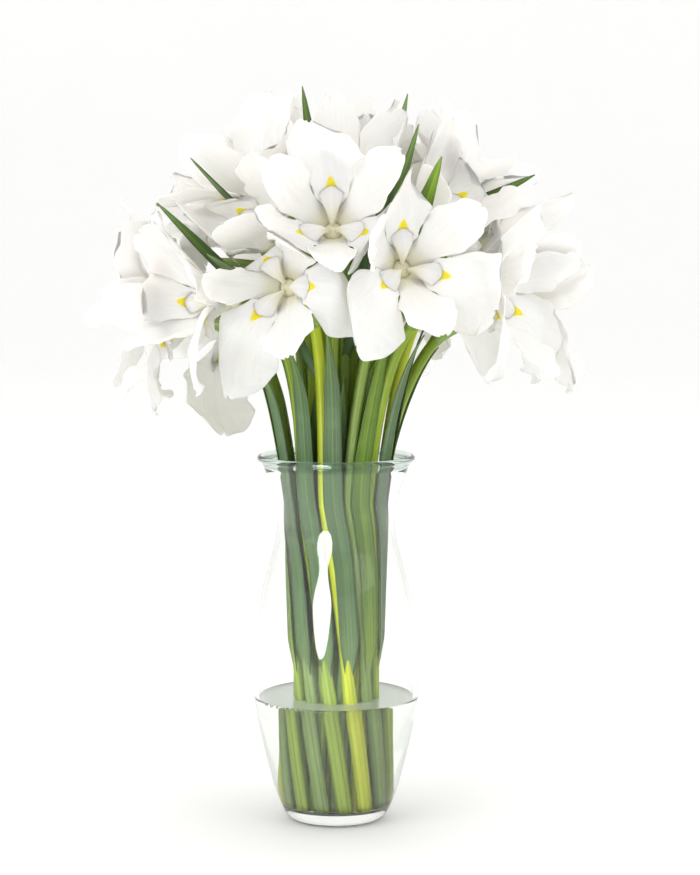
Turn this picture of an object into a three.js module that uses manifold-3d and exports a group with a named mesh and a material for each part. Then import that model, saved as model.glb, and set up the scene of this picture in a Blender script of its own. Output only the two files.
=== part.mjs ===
// Cut white irises standing in water in a waisted clear glass vase.
// Millimetres, +Z up, the viewer at -Y. The origin is the middle of the vase's flat underside.

import * as THREE from "three";
import { mergeVertices } from "three/addons/utils/BufferGeometryUtils.js";
import Module from "manifold-3d";

const wasm = await Module();
wasm.setup();

const rad = THREE.MathUtils.degToRad;
const vec = (x, y, z) => new THREE.Vector3(x, y, z);
const lerp = THREE.MathUtils.lerp;
const clamp = THREE.MathUtils.clamp;
const smooth = (x) => THREE.MathUtils.smoothstep(x, 0, 1);

// Gap between pieces that touch on the real thing.
const GAP = 0.3;

// The vase's outer profile as radius and height, drawn through by a smooth curve.
const VASE_OUTLINE = [
  [28, 0],
  [33.5, 6],
  [41, 26],
  [50.2, 65],
  [52.4, 93],
  [47.8, 142],
  [38.2, 181],
  [38.6, 203],
  [46.6, 228],
];
const VASE_WALL = 3;
const VASE_FLOOR = 9;
const FLOOR_ROUND = 4;
const BEAD_RADIUS = 2;
const BEAD_ANGLES = [-70, -10, 50, 110, 170];
// The bead's middle, out from the rim and up from it, as shares of the bead's radius.
const BEAD_OUT = 0.6;
const BEAD_UP = 1.6;
const VASE_SIDES = 30;
const VASE_ROWS = 10;
const WATER_LEVEL = 78;
// Heights at which the vase's inner surface is drawn, above and below the water's level.
const AIR_HEIGHTS = [225, 210, 195, 180, 160, 135, 105];
const WATER_HEIGHTS = [WATER_LEVEL, 52, 28, 12];

// The head is a dome of blooms about this centre, and petals stay outside the inner ball of stems.
const HEAD_CENTRE = vec(4, 0, 305);
const PETAL_FREE_RADIUS = 80;
const LEVEL_TILT = 20;
// A bloom's cell is centred this far along its axis, and petals keep off its walls.
const CELL_LIFT = 38;
const CELL_MARGIN = 0.9;
const CELL_SOFTNESS = 9;
const NEIGHBOUR_REACH = 150;
// Petals are free of the walls this near the base, and wholly held this much further out.
const FREE_REACH = 10;
const HELD_REACH = 16;

// Each bloom: its ring in the vase, the azimuth, elevation and distance of its base from the head's centre,
// the azimuth and elevation that it faces, the turn of its first fall from straight down, and its level
// among its neighbours, 1 for the ones that overlap them and less for the ones that lie under.
const BLOOMS = [
  [0, -21, 23, 94, -22, 8, -32, -0.3],
  [0, 24, 29, 98, 16, 14, -52, 0.8],
  [0, 60, 18, 98, 70, 2, 60, 1],
  [0, 81, 34, 106, 70, 30, 40, 0],
  [0, 103, 10, 104, 100, 6, 60, 0],
  [0, 135, 22, 96, 138, 12, 0, 1],
  [0, 165, 8, 86, 165, 2, 30, 0],
  [0, 195, 22, 96, 195, 14, -25, 1],
  [0, 228, 6, 86, 226, 0, 15, 0],
  [0, 264, 18, 102, 266, 12, -20, 1],
  [0, 290, 8, 98, 280, 0, 60, 0],
  [0, 310, 17, 94, 297, 12, 50, 1],
  [1, -4, 42, 104, -2, 28, 62, 0.6],
  [1, 53, 49, 96, 40, 43, -15, 0.5],
  [1, 86, 53, 102, 75, 45, 0, 1],
  [1, 106, 38, 94, 104, 30, 30, 0],
  [1, 140, 52, 94, 140, 45, -20, 0],
  [1, 180, 45, 90, 182, 40, 15, 0],
  [1, 222, 42, 96, 222, 34, -10, 1],
  [1, 262, 50, 90, 262, 48, 30, 0],
  [1, 322, 42, 94, 318, 30, -15, 0.5],
  [2, 304, 59, 100, 298, 50, -20, 1],
  [2, 8, 67, 92, 10, 58, 20, 0.5],
  [2, 130, 70, 90, 135, 62, -25, 0],
  [2, 240, 70, 93, 240, 60, 10, 0],
  [3, 340, 90, 92, 330, 84, 40, 0],
].map(([ring, azimuth, elevation, distance, faceAzimuth, faceElevation, turn, level]) => ({
  ring,
  azimuth,
  elevation,
  distance,
  faceAzimuth,
  faceElevation,
  turn,
  level,
}));

// Stems stand in rings in the vase: the ring's radius at the neck, the azimuth of its first place, how far the
// ring turns from there down to the foot, and its strap leaves.
const RINGS = [
  { radius: 27.6, first: -15, twist: 60, leafOut: 4.2, leafSide: 7, leafHalf: 6, leafTop: 1.7 },
  { radius: 18.4, first: -10, twist: -30, leafOut: 4.1, leafSide: 6, leafHalf: 4.2, leafTop: 1.42 },
  { radius: 9.3, first: -60, twist: 25, leafOut: 4.1, leafSide: 5, leafHalf: 3.4, leafTop: 1.38 },
  { radius: 0, first: 0, twist: 0, leafOut: 4.1, leafSide: 0, leafHalf: 2.6, leafTop: 1.34 },
];
const FOOT_SCALE = 0.87;
const NECK = 190;
const STEM_FOOT = VASE_FLOOR + 2 * GAP;
const STEM_TOP_OF_RINGS = 205;
const STEM_SIDES = 6;
// How much further a stem leans out for each millimetre that it stands off the vase's axis.
const STEM_LEAN = 0.006;
// A stem's half widths outward and sideways, in its sheath under water and bare above.
const SHEATH = [3.4, 4.6];
const BARE = [3.4, 3.4];
const SPATHE = [5.6, 5.6];
const STEM_HEAD = [4, 4];
// Where a stem's rings are drawn: by height in the vase, then by share of the way to the bloom.
const STEM_ROWS = [
  { height: STEM_FOOT, halves: SHEATH },
  { height: WATER_LEVEL, halves: SHEATH },
  { height: 100, halves: BARE },
  { share: 1.1, halves: BARE },
  { share: 1.4, halves: BARE },
  { share: 1.68, halves: BARE },
  { share: 1.84, halves: SPATHE },
  { share: 2, halves: STEM_HEAD },
];
const LEAF_THICKNESS = 0.8;
const TIP_THICKNESS = 0.6;
// The strap leaf: its root, its lower edge and its upper edge by height, and its free part's first share.
const STRAP_HEIGHTS = [92, 116, 165];
const STRAP_FREE_SHARE = 1.15;
const STRAP_TIP_HALF = 1;
// Where the free part bends out, as a share of the way to its tip.
const STRAP_BEND = 0.55;
// A tip leaf's half width along its length, as shares of its widest, and where it joins the gap's plane.
const TIP_SHAPE = [
  [0, 0.3],
  [0.22, 0.6],
  [0.45, 1],
  [0.65, 1],
  [0.85, 0.6],
  [1, 0.13],
];
const TIP_JOINS = [0.05, 0.42];
// How far a tip leaf follows its stem before it turns, and where its last bend is, as shares of its reach.
const TIP_START_PULL = 0.08;
const TIP_END_PULL = 0.6;

// Leaves whose tips show between the blooms: the stem that each grows from and where it leaves it, the bloom
// on the other side of the gap that it runs in, and the azimuth, elevation and distance of its tip.
const LEAF_TIPS = [
  { stem: 23, from: 1.45, beside: 26, azimuth: 59, elevation: 73, distance: 160, half: 5.5 },
  { stem: 2, from: 1.45, beside: 14, azimuth: 36, elevation: 49, distance: 170, half: 9 },
  { stem: 23, from: 1.5, beside: 14, azimuth: 32, elevation: 58, distance: 158, half: 6 },
  { stem: 12, from: 1.55, beside: 21, azimuth: -63, elevation: 40, distance: 150, half: 5.5 },
  { stem: 25, from: 1.5, beside: 26, azimuth: -127, elevation: 79, distance: 162, half: 5.5 },
  { stem: 1, from: 1.45, beside: 21, azimuth: -37, elevation: 26, distance: 154, half: 6 },
  { stem: 22, from: 1.5, beside: 21, azimuth: -50, elevation: 45, distance: 166, half: 5.5 },
  { stem: 15, from: 1.45, beside: 4, azimuth: 75, elevation: 46, distance: 166, half: 6 },
  { stem: 6, from: 1.5, beside: 17, azimuth: 140, elevation: 38, distance: 150, half: 5 },
  { stem: 8, from: 1.25, beside: 18, azimuth: 188, elevation: 36, distance: 145, half: 5 },
  { stem: 19, from: 1.5, beside: 9, azimuth: 225, elevation: 26, distance: 145, half: 5 },
];

// Petals: lengths of the claw and the blade, the root's distance from the axis and its lift, half widths
// at root, claw and blade, the claw's rise from square to the axis, the blade's bend, and the rows drawn.
const FALL = {
  claw: 22,
  blade: 62,
  root: 5.5,
  lift: 0,
  rootHalf: 3,
  clawHalf: 10.5,
  bladeHalf: 30,
  rise: 40,
  curl: 85,
  arch: 0.22,
  rows: [0, 0.2, 0.36, 0.52, 0.76, 1],
  rises: [0, 12, -12],
  curls: [0, 30, -25],
  sways: [0, 22, -22],
};
const STANDARD = {
  claw: 16,
  blade: 50,
  root: 5.5,
  lift: 1.5,
  rootHalf: 2.6,
  clawHalf: 8.5,
  bladeHalf: 17,
  rise: 50,
  curl: 4,
  arch: -0.2,
  rows: [0, 0.3, 0.66, 1],
  rises: [0, -14],
  curls: [0, 30, -20],
  sways: [0, 20, -20],
};
const STYLE = {
  claw: 6,
  blade: 27,
  root: 3.2,
  lift: 5,
  rootHalf: 1.3,
  clawHalf: 2.6,
  bladeHalf: 8,
  rise: 56,
  curl: 66,
  rows: [0, 0.52, 1],
  ridge: 3.2,
};
const PETAL_THICKNESS = 0.8;
const TUBE_LENGTH = 8;
const TUBE_RADIUS = 2.8;
const WAIST_LIFT = -3;
const WAIST_RADIUS = 4.8;
const PETAL_STEPS = 25;
const PETAL_TIP_HALF = 1.2;

// Shares of a blade's length: where it is fully wide, where its tip starts to round and how far that goes.
const BLADE_SPREAD = 0.42;
const TIP_START = 0.5;
const TIP_REACH = 0.53;

// How a petal's lie is chosen: places tried along and across it, the room it wants, and what a change costs.
const CROWD_SHARES = [0.2, 0.36, 0.52, 0.68, 0.84, 1];
const CROWD_SIDES = [-0.7, 0, 0.7];
const CROWD_MARGIN = 2;
const EFFORT = { rise: 8, curl: 4, sway: 5 };

const petalWhite = new THREE.MeshStandardMaterial({ color: 0xf7f5ef, roughness: 0.6 });
const stemGreen = new THREE.MeshStandardMaterial({ color: 0x6f9a3c, roughness: 0.55 });
const clearGlass = new THREE.MeshStandardMaterial({
  color: 0xe4eeea,
  roughness: 0.03,
  transparent: true,
  opacity: 0.35,
});
const clearWater = new THREE.MeshStandardMaterial({
  color: 0xdfe8df,
  roughness: 0.05,
  transparent: true,
  opacity: 0.35,
});

// A closed solid from points and triangles, turned right side out.
function solidFrom(points, triangles) {
  const flat = new Float32Array(points.flatMap((p) => [p.x, p.y, p.z]));
  const build = (faces) =>
    new wasm.Manifold(
      new wasm.Mesh({ numProp: 3, vertProperties: flat, triVerts: new Uint32Array(faces.flat()) }),
    );
  const made = build(triangles);
  if (made.volume() > 0) return made;
  return build(triangles.map(([a, b, c]) => [a, c, b]));
}

// A closed solid from a closed three.js geometry.
function solidOf(geometry) {
  const bare = geometry.clone();
  bare.deleteAttribute("normal");
  bare.deleteAttribute("uv");
  const merged = mergeVertices(bare, 1e-3);
  const place = merged.attributes.position;
  const points = Array.from({ length: place.count }, (_, i) => vec().fromBufferAttribute(place, i));
  const triangles = [];
  for (let i = 0; i < merged.index.count; i += 3) {
    const corner = [0, 1, 2].map((k) => merged.index.getX(i + k));
    if (new Set(corner).size === 3) triangles.push(corner);
  }
  return solidFrom(points, triangles);
}

// A named mesh from a solid.
function meshOf(name, solid, material) {
  const data = solid.getMesh();
  const places = new Float32Array(data.numVert * 3);
  for (let i = 0; i < data.numVert; i++) {
    const start = i * data.numProp;
    places.set(data.vertProperties.subarray(start, start + 3), i * 3);
  }
  const geometry = new THREE.BufferGeometry();
  geometry.setAttribute("position", new THREE.BufferAttribute(places, 3));
  geometry.setIndex(new THREE.BufferAttribute(data.triVerts, 1));
  geometry.computeVertexNormals();
  const mesh = new THREE.Mesh(geometry, material);
  mesh.name = name;
  return mesh;
}

// A closed skin over rings of equal count, with flat ends.
function loft(rings) {
  const sides = rings[0].length;
  const points = rings.flat();
  const triangles = [];
  for (let row = 0; row + 1 < rings.length; row++) {
    for (let k = 0; k < sides; k++) {
      const a = row * sides + k;
      const b = row * sides + ((k + 1) % sides);
      triangles.push([a, b, b + sides], [a, b + sides, a + sides]);
    }
  }
  const top = (rings.length - 1) * sides;
  for (let k = 1; k + 1 < sides; k++) {
    triangles.push([0, k + 1, k], [top, top + k, top + k + 1]);
  }
  return solidFrom(points, triangles);
}

const unite = (solids) => solids.reduce((sum, next) => sum.add(next));

// The direction at an azimuth from the viewer's side and an elevation, in degrees.
function direction(azimuth, elevation) {
  const [a, e] = [rad(azimuth), rad(elevation)];
  return vec(Math.cos(e) * Math.sin(a), -Math.cos(e) * Math.cos(a), Math.sin(e));
}

// The vase's outer curve from the foot to the rim, as points of radius and height.
const outerCurve = new THREE.SplineCurve(VASE_OUTLINE.map(([r, z]) => new THREE.Vector2(r, z)));

// The inner surface's radius at a height, one wall in from the outer curve.
function innerRadius(height) {
  let [low, high] = [0, 1];
  for (let step = 0; step < 30; step++) {
    const middle = (low + high) / 2;
    if (outerCurve.getPoint(middle).y < height) low = middle;
    else high = middle;
  }
  const t = (low + high) / 2;
  const tangent = outerCurve.getTangent(t);
  return outerCurve.getPoint(t).x - VASE_WALL / tangent.y;
}

// The flat of the vase's inner floor, inside the round of its corner.
const floorRadius = () => innerRadius(WATER_HEIGHTS.at(-1)) - FLOOR_ROUND;

// A solid turned about the vase's axis from points of radius and height that start and end on it.
function turned(profile) {
  const points = profile.map(([r, z]) => new THREE.Vector2(r, z));
  return solidOf(new THREE.LatheGeometry(points, VASE_SIDES).rotateX(Math.PI / 2));
}

function makeVase() {
  const outer = outerCurve.getPoints(VASE_ROWS).map((p) => [p.x, p.y]);
  const [rimRadius, rimHeight] = outer.at(-1);
  const bead = BEAD_ANGLES.map((angle) => [
    rimRadius + BEAD_RADIUS * BEAD_OUT + BEAD_RADIUS * Math.cos(rad(angle)),
    rimHeight + BEAD_RADIUS * BEAD_UP + BEAD_RADIUS * Math.sin(rad(angle)),
  ]);
  const inner = [...AIR_HEIGHTS, ...WATER_HEIGHTS].map((z) => [innerRadius(z), z]);
  const floor = [
    [floorRadius(), VASE_FLOOR],
    [0, VASE_FLOOR],
  ];
  return turned([[0, 0], ...outer, ...bead, ...inner, ...floor]);
}

// Everything that a stem and its bloom share: where the base is and which way the bloom faces.
const irises = BLOOMS.map((spec, index) => {
  const axis = direction(spec.faceAzimuth, spec.faceElevation);
  const base = HEAD_CENTRE.clone().addScaledVector(direction(spec.azimuth, spec.elevation), spec.distance);
  const down = direction(spec.faceAzimuth, spec.faceElevation - 90);
  const right = axis.clone().cross(down);
  const centre = base.clone().addScaledVector(axis, CELL_LIFT);
  const lean = centre.clone().sub(HEAD_CENTRE).setLength(LEVEL_TILT).multiplyScalar(spec.level);
  return { ...spec, index, axis, base, down, right, centre, lean };
});

// How many stems each ring holds, and each stem's place in its own.
const ringCount = RINGS.map((_, ring) => irises.filter((iris) => iris.ring === ring).length);
irises.forEach((iris) => {
  iris.slot = irises.filter((other) => other.ring === iris.ring && other.index < iris.index).length;
});

// The wall between two blooms' cells: a point on it, and the direction out through it.
function wallBetween(iris, other) {
  const point = iris.centre.clone().lerp(other.centre, 0.5);
  const out = other.centre.clone().add(other.lean).sub(iris.centre).sub(iris.lean).normalize();
  return { point, out };
}
irises.forEach((iris) => {
  const others = irises.filter((other) => other !== iris);
  const near = others.filter((other) => other.centre.distanceTo(iris.centre) < NEIGHBOUR_REACH);
  iris.walls = near.map((other) => wallBetween(iris, other));
});

// Moves a point softly back inside its bloom's cell and off the ball of stems.
function held(iris, place) {
  const p = place.clone();
  for (let round = 0; round < 4; round++) {
    for (const wall of iris.walls) {
      const reach = p.clone().sub(wall.point).dot(wall.out);
      const over = reach + CELL_MARGIN + CELL_SOFTNESS;
      if (over > 0) {
        const kept = CELL_SOFTNESS * (1 - Math.exp(-over / CELL_SOFTNESS));
        p.addScaledVector(wall.out, kept - over);
      }
    }
    const fromCentre = p.clone().sub(HEAD_CENTRE);
    const inside = PETAL_FREE_RADIUS + CELL_SOFTNESS - fromCentre.length();
    if (inside > 0) {
      const kept = CELL_SOFTNESS * (1 - Math.exp(-inside / CELL_SOFTNESS));
      p.addScaledVector(fromCentre.normalize(), inside - kept);
    }
  }
  const leave = smooth((place.distanceTo(iris.base) - FREE_REACH) / HELD_REACH);
  return place.clone().lerp(p, leave);
}

// The direction square to a bloom's axis at a heading counted from straight down.
function radial(iris, heading) {
  const angle = rad(heading);
  return iris.down.clone().multiplyScalar(Math.cos(angle)).addScaledVector(iris.right, Math.sin(angle));
}

// A petal's middle line and cross directions: a straight claw, then a blade that bends over.
function petalSpine(iris, petal, choice, heading, rows) {
  const length = petal.claw + petal.blade;
  const clawShare = petal.claw / length;
  const place = iris.base
    .clone()
    .addScaledVector(radial(iris, heading), petal.root)
    .addScaledVector(iris.axis, petal.lift);
  const spine = [];
  for (let step = 0; step <= PETAL_STEPS; step++) {
    const t = step / PETAL_STEPS;
    const bend = Math.max(0, (t - clawShare) / (1 - clawShare));
    const rise = rad(choice.rise - choice.curl * (1 - (1 - bend) ** 2));
    const turn = heading + choice.sway * bend;
    const along = radial(iris, turn).multiplyScalar(Math.cos(rise));
    along.addScaledVector(iris.axis, Math.sin(rise));
    const across = radial(iris, turn + 90);
    spine.push({ t, place: place.clone(), along, across, up: along.clone().cross(across) });
    place.addScaledVector(along, length / PETAL_STEPS);
  }
  return rows.map((t) => spine[Math.round(t * PETAL_STEPS)]);
}

// Half the petal's width at a share of its length.
function petalHalf(petal, t) {
  const clawShare = petal.claw / (petal.claw + petal.blade);
  if (t <= clawShare) return lerp(petal.rootHalf, petal.clawHalf, smooth((1.6 * t) / clawShare));
  const b = (t - clawShare) / (1 - clawShare);
  const grown = lerp(petal.clawHalf, petal.bladeHalf, smooth(b / BLADE_SPREAD));
  const tip = b < TIP_START ? 1 : Math.sqrt(Math.max(0, 1 - ((b - TIP_START) / TIP_REACH) ** 2));
  return Math.max(grown * tip, PETAL_TIP_HALF);
}

// A petal's surface as a grid of points, held inside the bloom's cell.
function petalGrid(iris, petal, choice, heading) {
  return petalSpine(iris, petal, choice, heading, petal.rows).map(({ t, place, across, up }) => {
    const half = petalHalf(petal, t);
    const sag = petal.arch * half * smooth(2 * t - 0.4) - 0.3 * half * (1 - smooth(2.4 * t));
    return [-1, 0, 1].map((s) =>
      held(
        iris,
        place
          .clone()
          .addScaledVector(across, s * half)
          .addScaledVector(up, -sag * s * s),
      ),
    );
  });
}

// How far a petal would cross its cell's walls and the ball of stems, as a penalty.
function crowding(iris, petal, choice, heading) {
  let penalty = 0;
  for (const { t, place, across } of petalSpine(iris, petal, choice, heading, CROWD_SHARES)) {
    for (const s of CROWD_SIDES) {
      const p = place.clone().addScaledVector(across, s * petalHalf(petal, t));
      for (const wall of iris.walls) {
        penalty += Math.max(0, p.clone().sub(wall.point).dot(wall.out) + CROWD_MARGIN) ** 2;
      }
      penalty += Math.max(0, PETAL_FREE_RADIUS - p.distanceTo(HEAD_CENTRE)) ** 2;
    }
  }
  return penalty;
}

// The lie of a petal, from a few, that crowds its neighbours least.
function bestChoice(iris, petal, heading) {
  let best = null;
  for (const rise of petal.rises) {
    for (const curl of petal.curls) {
      for (const sway of petal.sways) {
        const choice = { rise: petal.rise + rise, curl: petal.curl + curl, sway };
        const bends = EFFORT.rise * Math.abs(rise) + EFFORT.curl * Math.abs(curl);
        const penalty = crowding(iris, petal, choice, heading) + bends + EFFORT.sway * Math.abs(sway);
        if (!best || penalty < best.penalty - 1e-6) best = { ...choice, penalty };
      }
    }
  }
  return best;
}

// Points and triangles gathered for one closed skin.
class Skin {
  points = [];
  triangles = [];

  add(points) {
    const first = this.points.length;
    this.points.push(...points);
    return points.map((_, k) => first + k);
  }

  // A flat or folded face from its corners in order, as a fan.
  face(...corners) {
    for (let k = 1; k + 1 < corners.length; k++) {
      this.triangles.push([corners[0], corners[k], corners[k + 1]]);
    }
  }

  // A band between two rings of equal count, and a lid on the last ring.
  band(low, high) {
    low.forEach((corner, k) => {
      const next = (k + 1) % low.length;
      this.face(corner, low[next], high[next], high[k]);
    });
  }

  // A blade that grows from a port's four corners: left and right, upper and lower.
  blade(port, grid) {
    const rows = grid.slice(1).map((row, i) => {
      const offset = (j, side) => {
        const ahead = grid[Math.min(i + 2, grid.length - 1)][j];
        const along = ahead.clone().sub(grid[i][j]);
        const across = row[Math.min(j + 1, 2)].clone().sub(row[Math.max(j - 1, 0)]);
        const normal = along.cross(across).normalize();
        return row[j].clone().addScaledVector(normal, (side * PETAL_THICKNESS) / 2);
      };
      const [upper, lower] = [1, -1].map((side) => this.add([0, 1, 2].map((j) => offset(j, side))));
      return { upper, lower };
    });
    const { upper, lower } = rows[0];
    this.face(port.upperLeft, upper[0], upper[1]);
    this.face(port.upperLeft, upper[1], port.upperRight);
    this.face(port.upperRight, upper[1], upper[2]);
    this.face(port.lowerLeft, lower[1], lower[0]);
    this.face(port.lowerLeft, port.lowerRight, lower[1]);
    this.face(port.lowerRight, lower[2], lower[1]);
    this.face(port.lowerLeft, lower[0], upper[0], port.upperLeft);
    this.face(lower[2], port.lowerRight, port.upperRight, upper[2]);
    for (let i = 0; i + 1 < rows.length; i++) {
      const [near, far] = [rows[i], rows[i + 1]];
      for (const j of [0, 1]) {
        this.face(near.upper[j], far.upper[j], far.upper[j + 1], near.upper[j + 1]);
        this.face(near.lower[j], far.lower[j + 1], far.lower[j]);
        this.face(near.lower[j], near.lower[j + 1], far.lower[j + 1]);
      }
      this.face(near.lower[0], far.lower[0], far.upper[0], near.upper[0]);
      this.face(far.lower[2], near.lower[2], near.upper[2], far.upper[2]);
    }
    const tip = rows.at(-1);
    for (const j of [0, 1]) this.face(tip.lower[j], tip.lower[j + 1], tip.upper[j + 1], tip.upper[j]);
  }

  solid() {
    return solidFrom(this.points, this.triangles);
  }
}

// The four corners of a petal's root on the tube.
function petalPort(skin, iris, petal, heading) {
  const { place, across, up } = petalSpine(iris, petal, { ...petal, sway: 0 }, heading, [0])[0];
  const corner = (side, face) =>
    place
      .clone()
      .addScaledVector(across, side * petal.rootHalf)
      .addScaledVector(up, (face * PETAL_THICKNESS) / 2);
  const [lowerLeft, lowerRight, upperRight, upperLeft] = skin.add([
    corner(-1, -1),
    corner(1, -1),
    corner(1, 1),
    corner(-1, 1),
  ]);
  return { lowerLeft, lowerRight, upperRight, upperLeft };
}

// The rings of a style arm: a three-sided ridge that arches over a fall's claw.
function styleRings(iris, heading) {
  const choice = { rise: STYLE.rise, curl: STYLE.curl, sway: 0 };
  return petalSpine(iris, STYLE, choice, heading, STYLE.rows).map(({ t, place, across, up }) => {
    const half = lerp(STYLE.rootHalf, STYLE.bladeHalf, smooth(1.4 * t));
    const ridge = STYLE.ridge * (0.5 + 0.5 * smooth(2 * t));
    return [
      held(iris, place.clone().addScaledVector(across, -half)),
      held(iris, place.clone().addScaledVector(across, half)),
      held(iris, place.clone().addScaledVector(up, ridge)),
    ];
  });
}

// One bloom as a single skin: the tube, then three falls, three standards and three style arms.
function makeBloom(iris) {
  const skin = new Skin();
  const headings = [0, 60, 120, 180, 240, 300].map((step) => iris.turn + step);
  const tubeRing = (lift, radius) =>
    skin.add(
      headings.map((heading) =>
        iris.base.clone().addScaledVector(radial(iris, heading), radius).addScaledVector(iris.axis, lift),
      ),
    );
  const foot = tubeRing(-TUBE_LENGTH, TUBE_RADIUS);
  const waist = tubeRing(WAIST_LIFT, WAIST_RADIUS);
  skin.band(foot, waist);
  skin.face(...foot.slice().reverse());
  const ports = headings.map((heading, k) => {
    const petal = k % 2 ? STANDARD : FALL;
    const port = petalPort(skin, iris, petal, heading);
    skin.blade(port, petalGrid(iris, petal, bestChoice(iris, petal, heading), heading));
    return port;
  });
  ports.forEach((port, k) => {
    const next = ports[(k + 1) % 6];
    skin.face(waist[k], port.lowerRight, port.lowerLeft);
    skin.face(waist[k], waist[(k + 1) % 6], next.lowerLeft, port.lowerRight);
    skin.face(port.lowerRight, next.lowerLeft, next.upperLeft, port.upperRight);
  });
  const arms = [0, 2, 4].map((k) => {
    const rings = styleRings(iris, headings[k]).map((ring) => skin.add(ring));
    for (let i = 0; i + 1 < rings.length; i++) skin.band(rings[i], rings[i + 1]);
    skin.face(...rings.at(-1));
    const [left, right, top] = rings[0];
    return { left, right, top };
  });
  arms.forEach((arm, m) => {
    const next = arms[(m + 1) % 3];
    const [fall, standard, following] = [ports[2 * m], ports[2 * m + 1], ports[(2 * m + 2) % 6]];
    skin.face(fall.upperLeft, fall.upperRight, arm.right, arm.left);
    skin.face(arm.right, fall.upperRight, standard.upperLeft);
    skin.face(arm.right, standard.upperLeft, standard.upperRight);
    skin.face(arm.right, standard.upperRight, next.left);
    skin.face(next.left, standard.upperRight, following.upperLeft);
    skin.face(arm.right, next.left, next.top, arm.top);
  });
  skin.face(arms[0].top, arms[1].top, arms[2].top);
  return skin.solid();
}

// The middle of a stem: from 0 at its cut foot to 1 above the neck, in its ring, then to 2 at its bloom.
function stemPlace(iris, share) {
  const ring = RINGS[iris.ring];
  const inRing = (height) => {
    const slot = ring.first + (360 / ringCount[iris.ring]) * iris.slot;
    const twist = (ring.twist * (STEM_TOP_OF_RINGS - height)) / STEM_TOP_OF_RINGS;
    const scale = lerp(FOOT_SCALE, 1, clamp((height - WATER_LEVEL) / (NECK - WATER_LEVEL), 0, 1));
    return direction(slot + twist, 0)
      .multiplyScalar(ring.radius * scale)
      .setZ(height);
  };
  if (share <= 1) return inRing(lerp(STEM_FOOT, STEM_TOP_OF_RINGS, share));
  const start = inRing(STEM_TOP_OF_RINGS);
  const end = iris.base.clone().addScaledVector(iris.axis, -TUBE_LENGTH - GAP);
  const reach = end.distanceTo(start);
  const lean = start.clone().setZ(0).multiplyScalar(STEM_LEAN).setZ(1).normalize();
  const t = share - 1;
  return start
    .clone()
    .multiplyScalar(2 * t ** 3 - 3 * t ** 2 + 1)
    .addScaledVector(lean, reach * (t ** 3 - 2 * t ** 2 + t))
    .addScaledVector(end, 3 * t ** 2 - 2 * t ** 3)
    .addScaledVector(iris.axis, reach * (t ** 3 - t ** 2));
}

// A stem's direction and its outward and sideways directions at a share of its way.
function stemFrame(iris, share) {
  const place = stemPlace(iris, share);
  const ahead = stemPlace(iris, Math.min(share + 0.01, 2));
  const behind = stemPlace(iris, Math.max(share - 0.01, 0));
  const along = ahead.sub(behind).normalize();
  const slot = RINGS[iris.ring].first + (360 / ringCount[iris.ring]) * iris.slot;
  const bearing = iris.ring === 3 ? slot : (Math.atan2(place.x, -place.y) * 180) / Math.PI;
  const level = direction(bearing + 90, 0);
  const side = level.clone().addScaledVector(along, -level.dot(along)).normalize();
  const out = along.clone().cross(side).negate();
  return { place, along, side, out };
}

// A ring of points about a stem's middle with half widths outward and sideways.
function stemRing(iris, share, [outHalf, sideHalf]) {
  const { place, side, out } = stemFrame(iris, share);
  return Array.from({ length: STEM_SIDES }, (_, k) => {
    const angle = (2 * Math.PI * (k + 0.5)) / STEM_SIDES;
    return place
      .clone()
      .addScaledVector(out, outHalf * Math.sin(angle))
      .addScaledVector(side, sideHalf * Math.cos(angle));
  });
}

const ringShare = (height) => (height - STEM_FOOT) / (STEM_TOP_OF_RINGS - STEM_FOOT);

// The four corners of a blade's cross section.
function bladeRing(middle, side, half, out, thickness) {
  const corners = [
    [-1, -1],
    [1, -1],
    [1, 1],
    [-1, 1],
  ];
  return corners.map(([s, o]) =>
    middle
      .clone()
      .addScaledVector(side, s * half)
      .addScaledVector(out, (o * thickness) / 2),
  );
}

// The strap leaf beside a stem, rooted in it above the water and free towards its tip.
function strapLeaf(iris) {
  const { leafOut, leafSide, leafHalf, leafTop } = RINGS[iris.ring];
  const [root, low, high] = STRAP_HEIGHTS.map(ringShare);
  const bend = lerp(STRAP_FREE_SHARE, leafTop, STRAP_BEND);
  const rows = [
    { share: root, outBy: 1.5, sideBy: 0, half: 1.8 },
    { share: low, outBy: leafOut, sideBy: 0.4, half: leafHalf },
    { share: high, outBy: leafOut, sideBy: 1, half: leafHalf },
    { share: STRAP_FREE_SHARE, outBy: leafOut, sideBy: 1, half: leafHalf },
    { share: bend, outBy: leafOut + 1.5, sideBy: 1.2, half: leafHalf * 0.8 },
    { share: leafTop, outBy: leafOut + 3, sideBy: 1.3, half: STRAP_TIP_HALF },
  ];
  return loft(
    rows.map(({ share, outBy, sideBy, half }) => {
      const frame = stemFrame(iris, share);
      const about = Math.hypot(frame.place.x, frame.place.y) + outBy;
      const swing = (sideBy * leafSide) / about;
      const [cos, sin] = [Math.cos(swing), Math.sin(swing)];
      const out = frame.out.clone().multiplyScalar(cos).addScaledVector(frame.side, sin);
      const side = frame.side.clone().multiplyScalar(cos).addScaledVector(frame.out, -sin);
      const middle = frame.place
        .clone()
        .addScaledVector(frame.out, outBy - about)
        .addScaledVector(out, about);
      return bladeRing(middle, side, half, out, LEAF_THICKNESS);
    }),
  );
}

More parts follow.
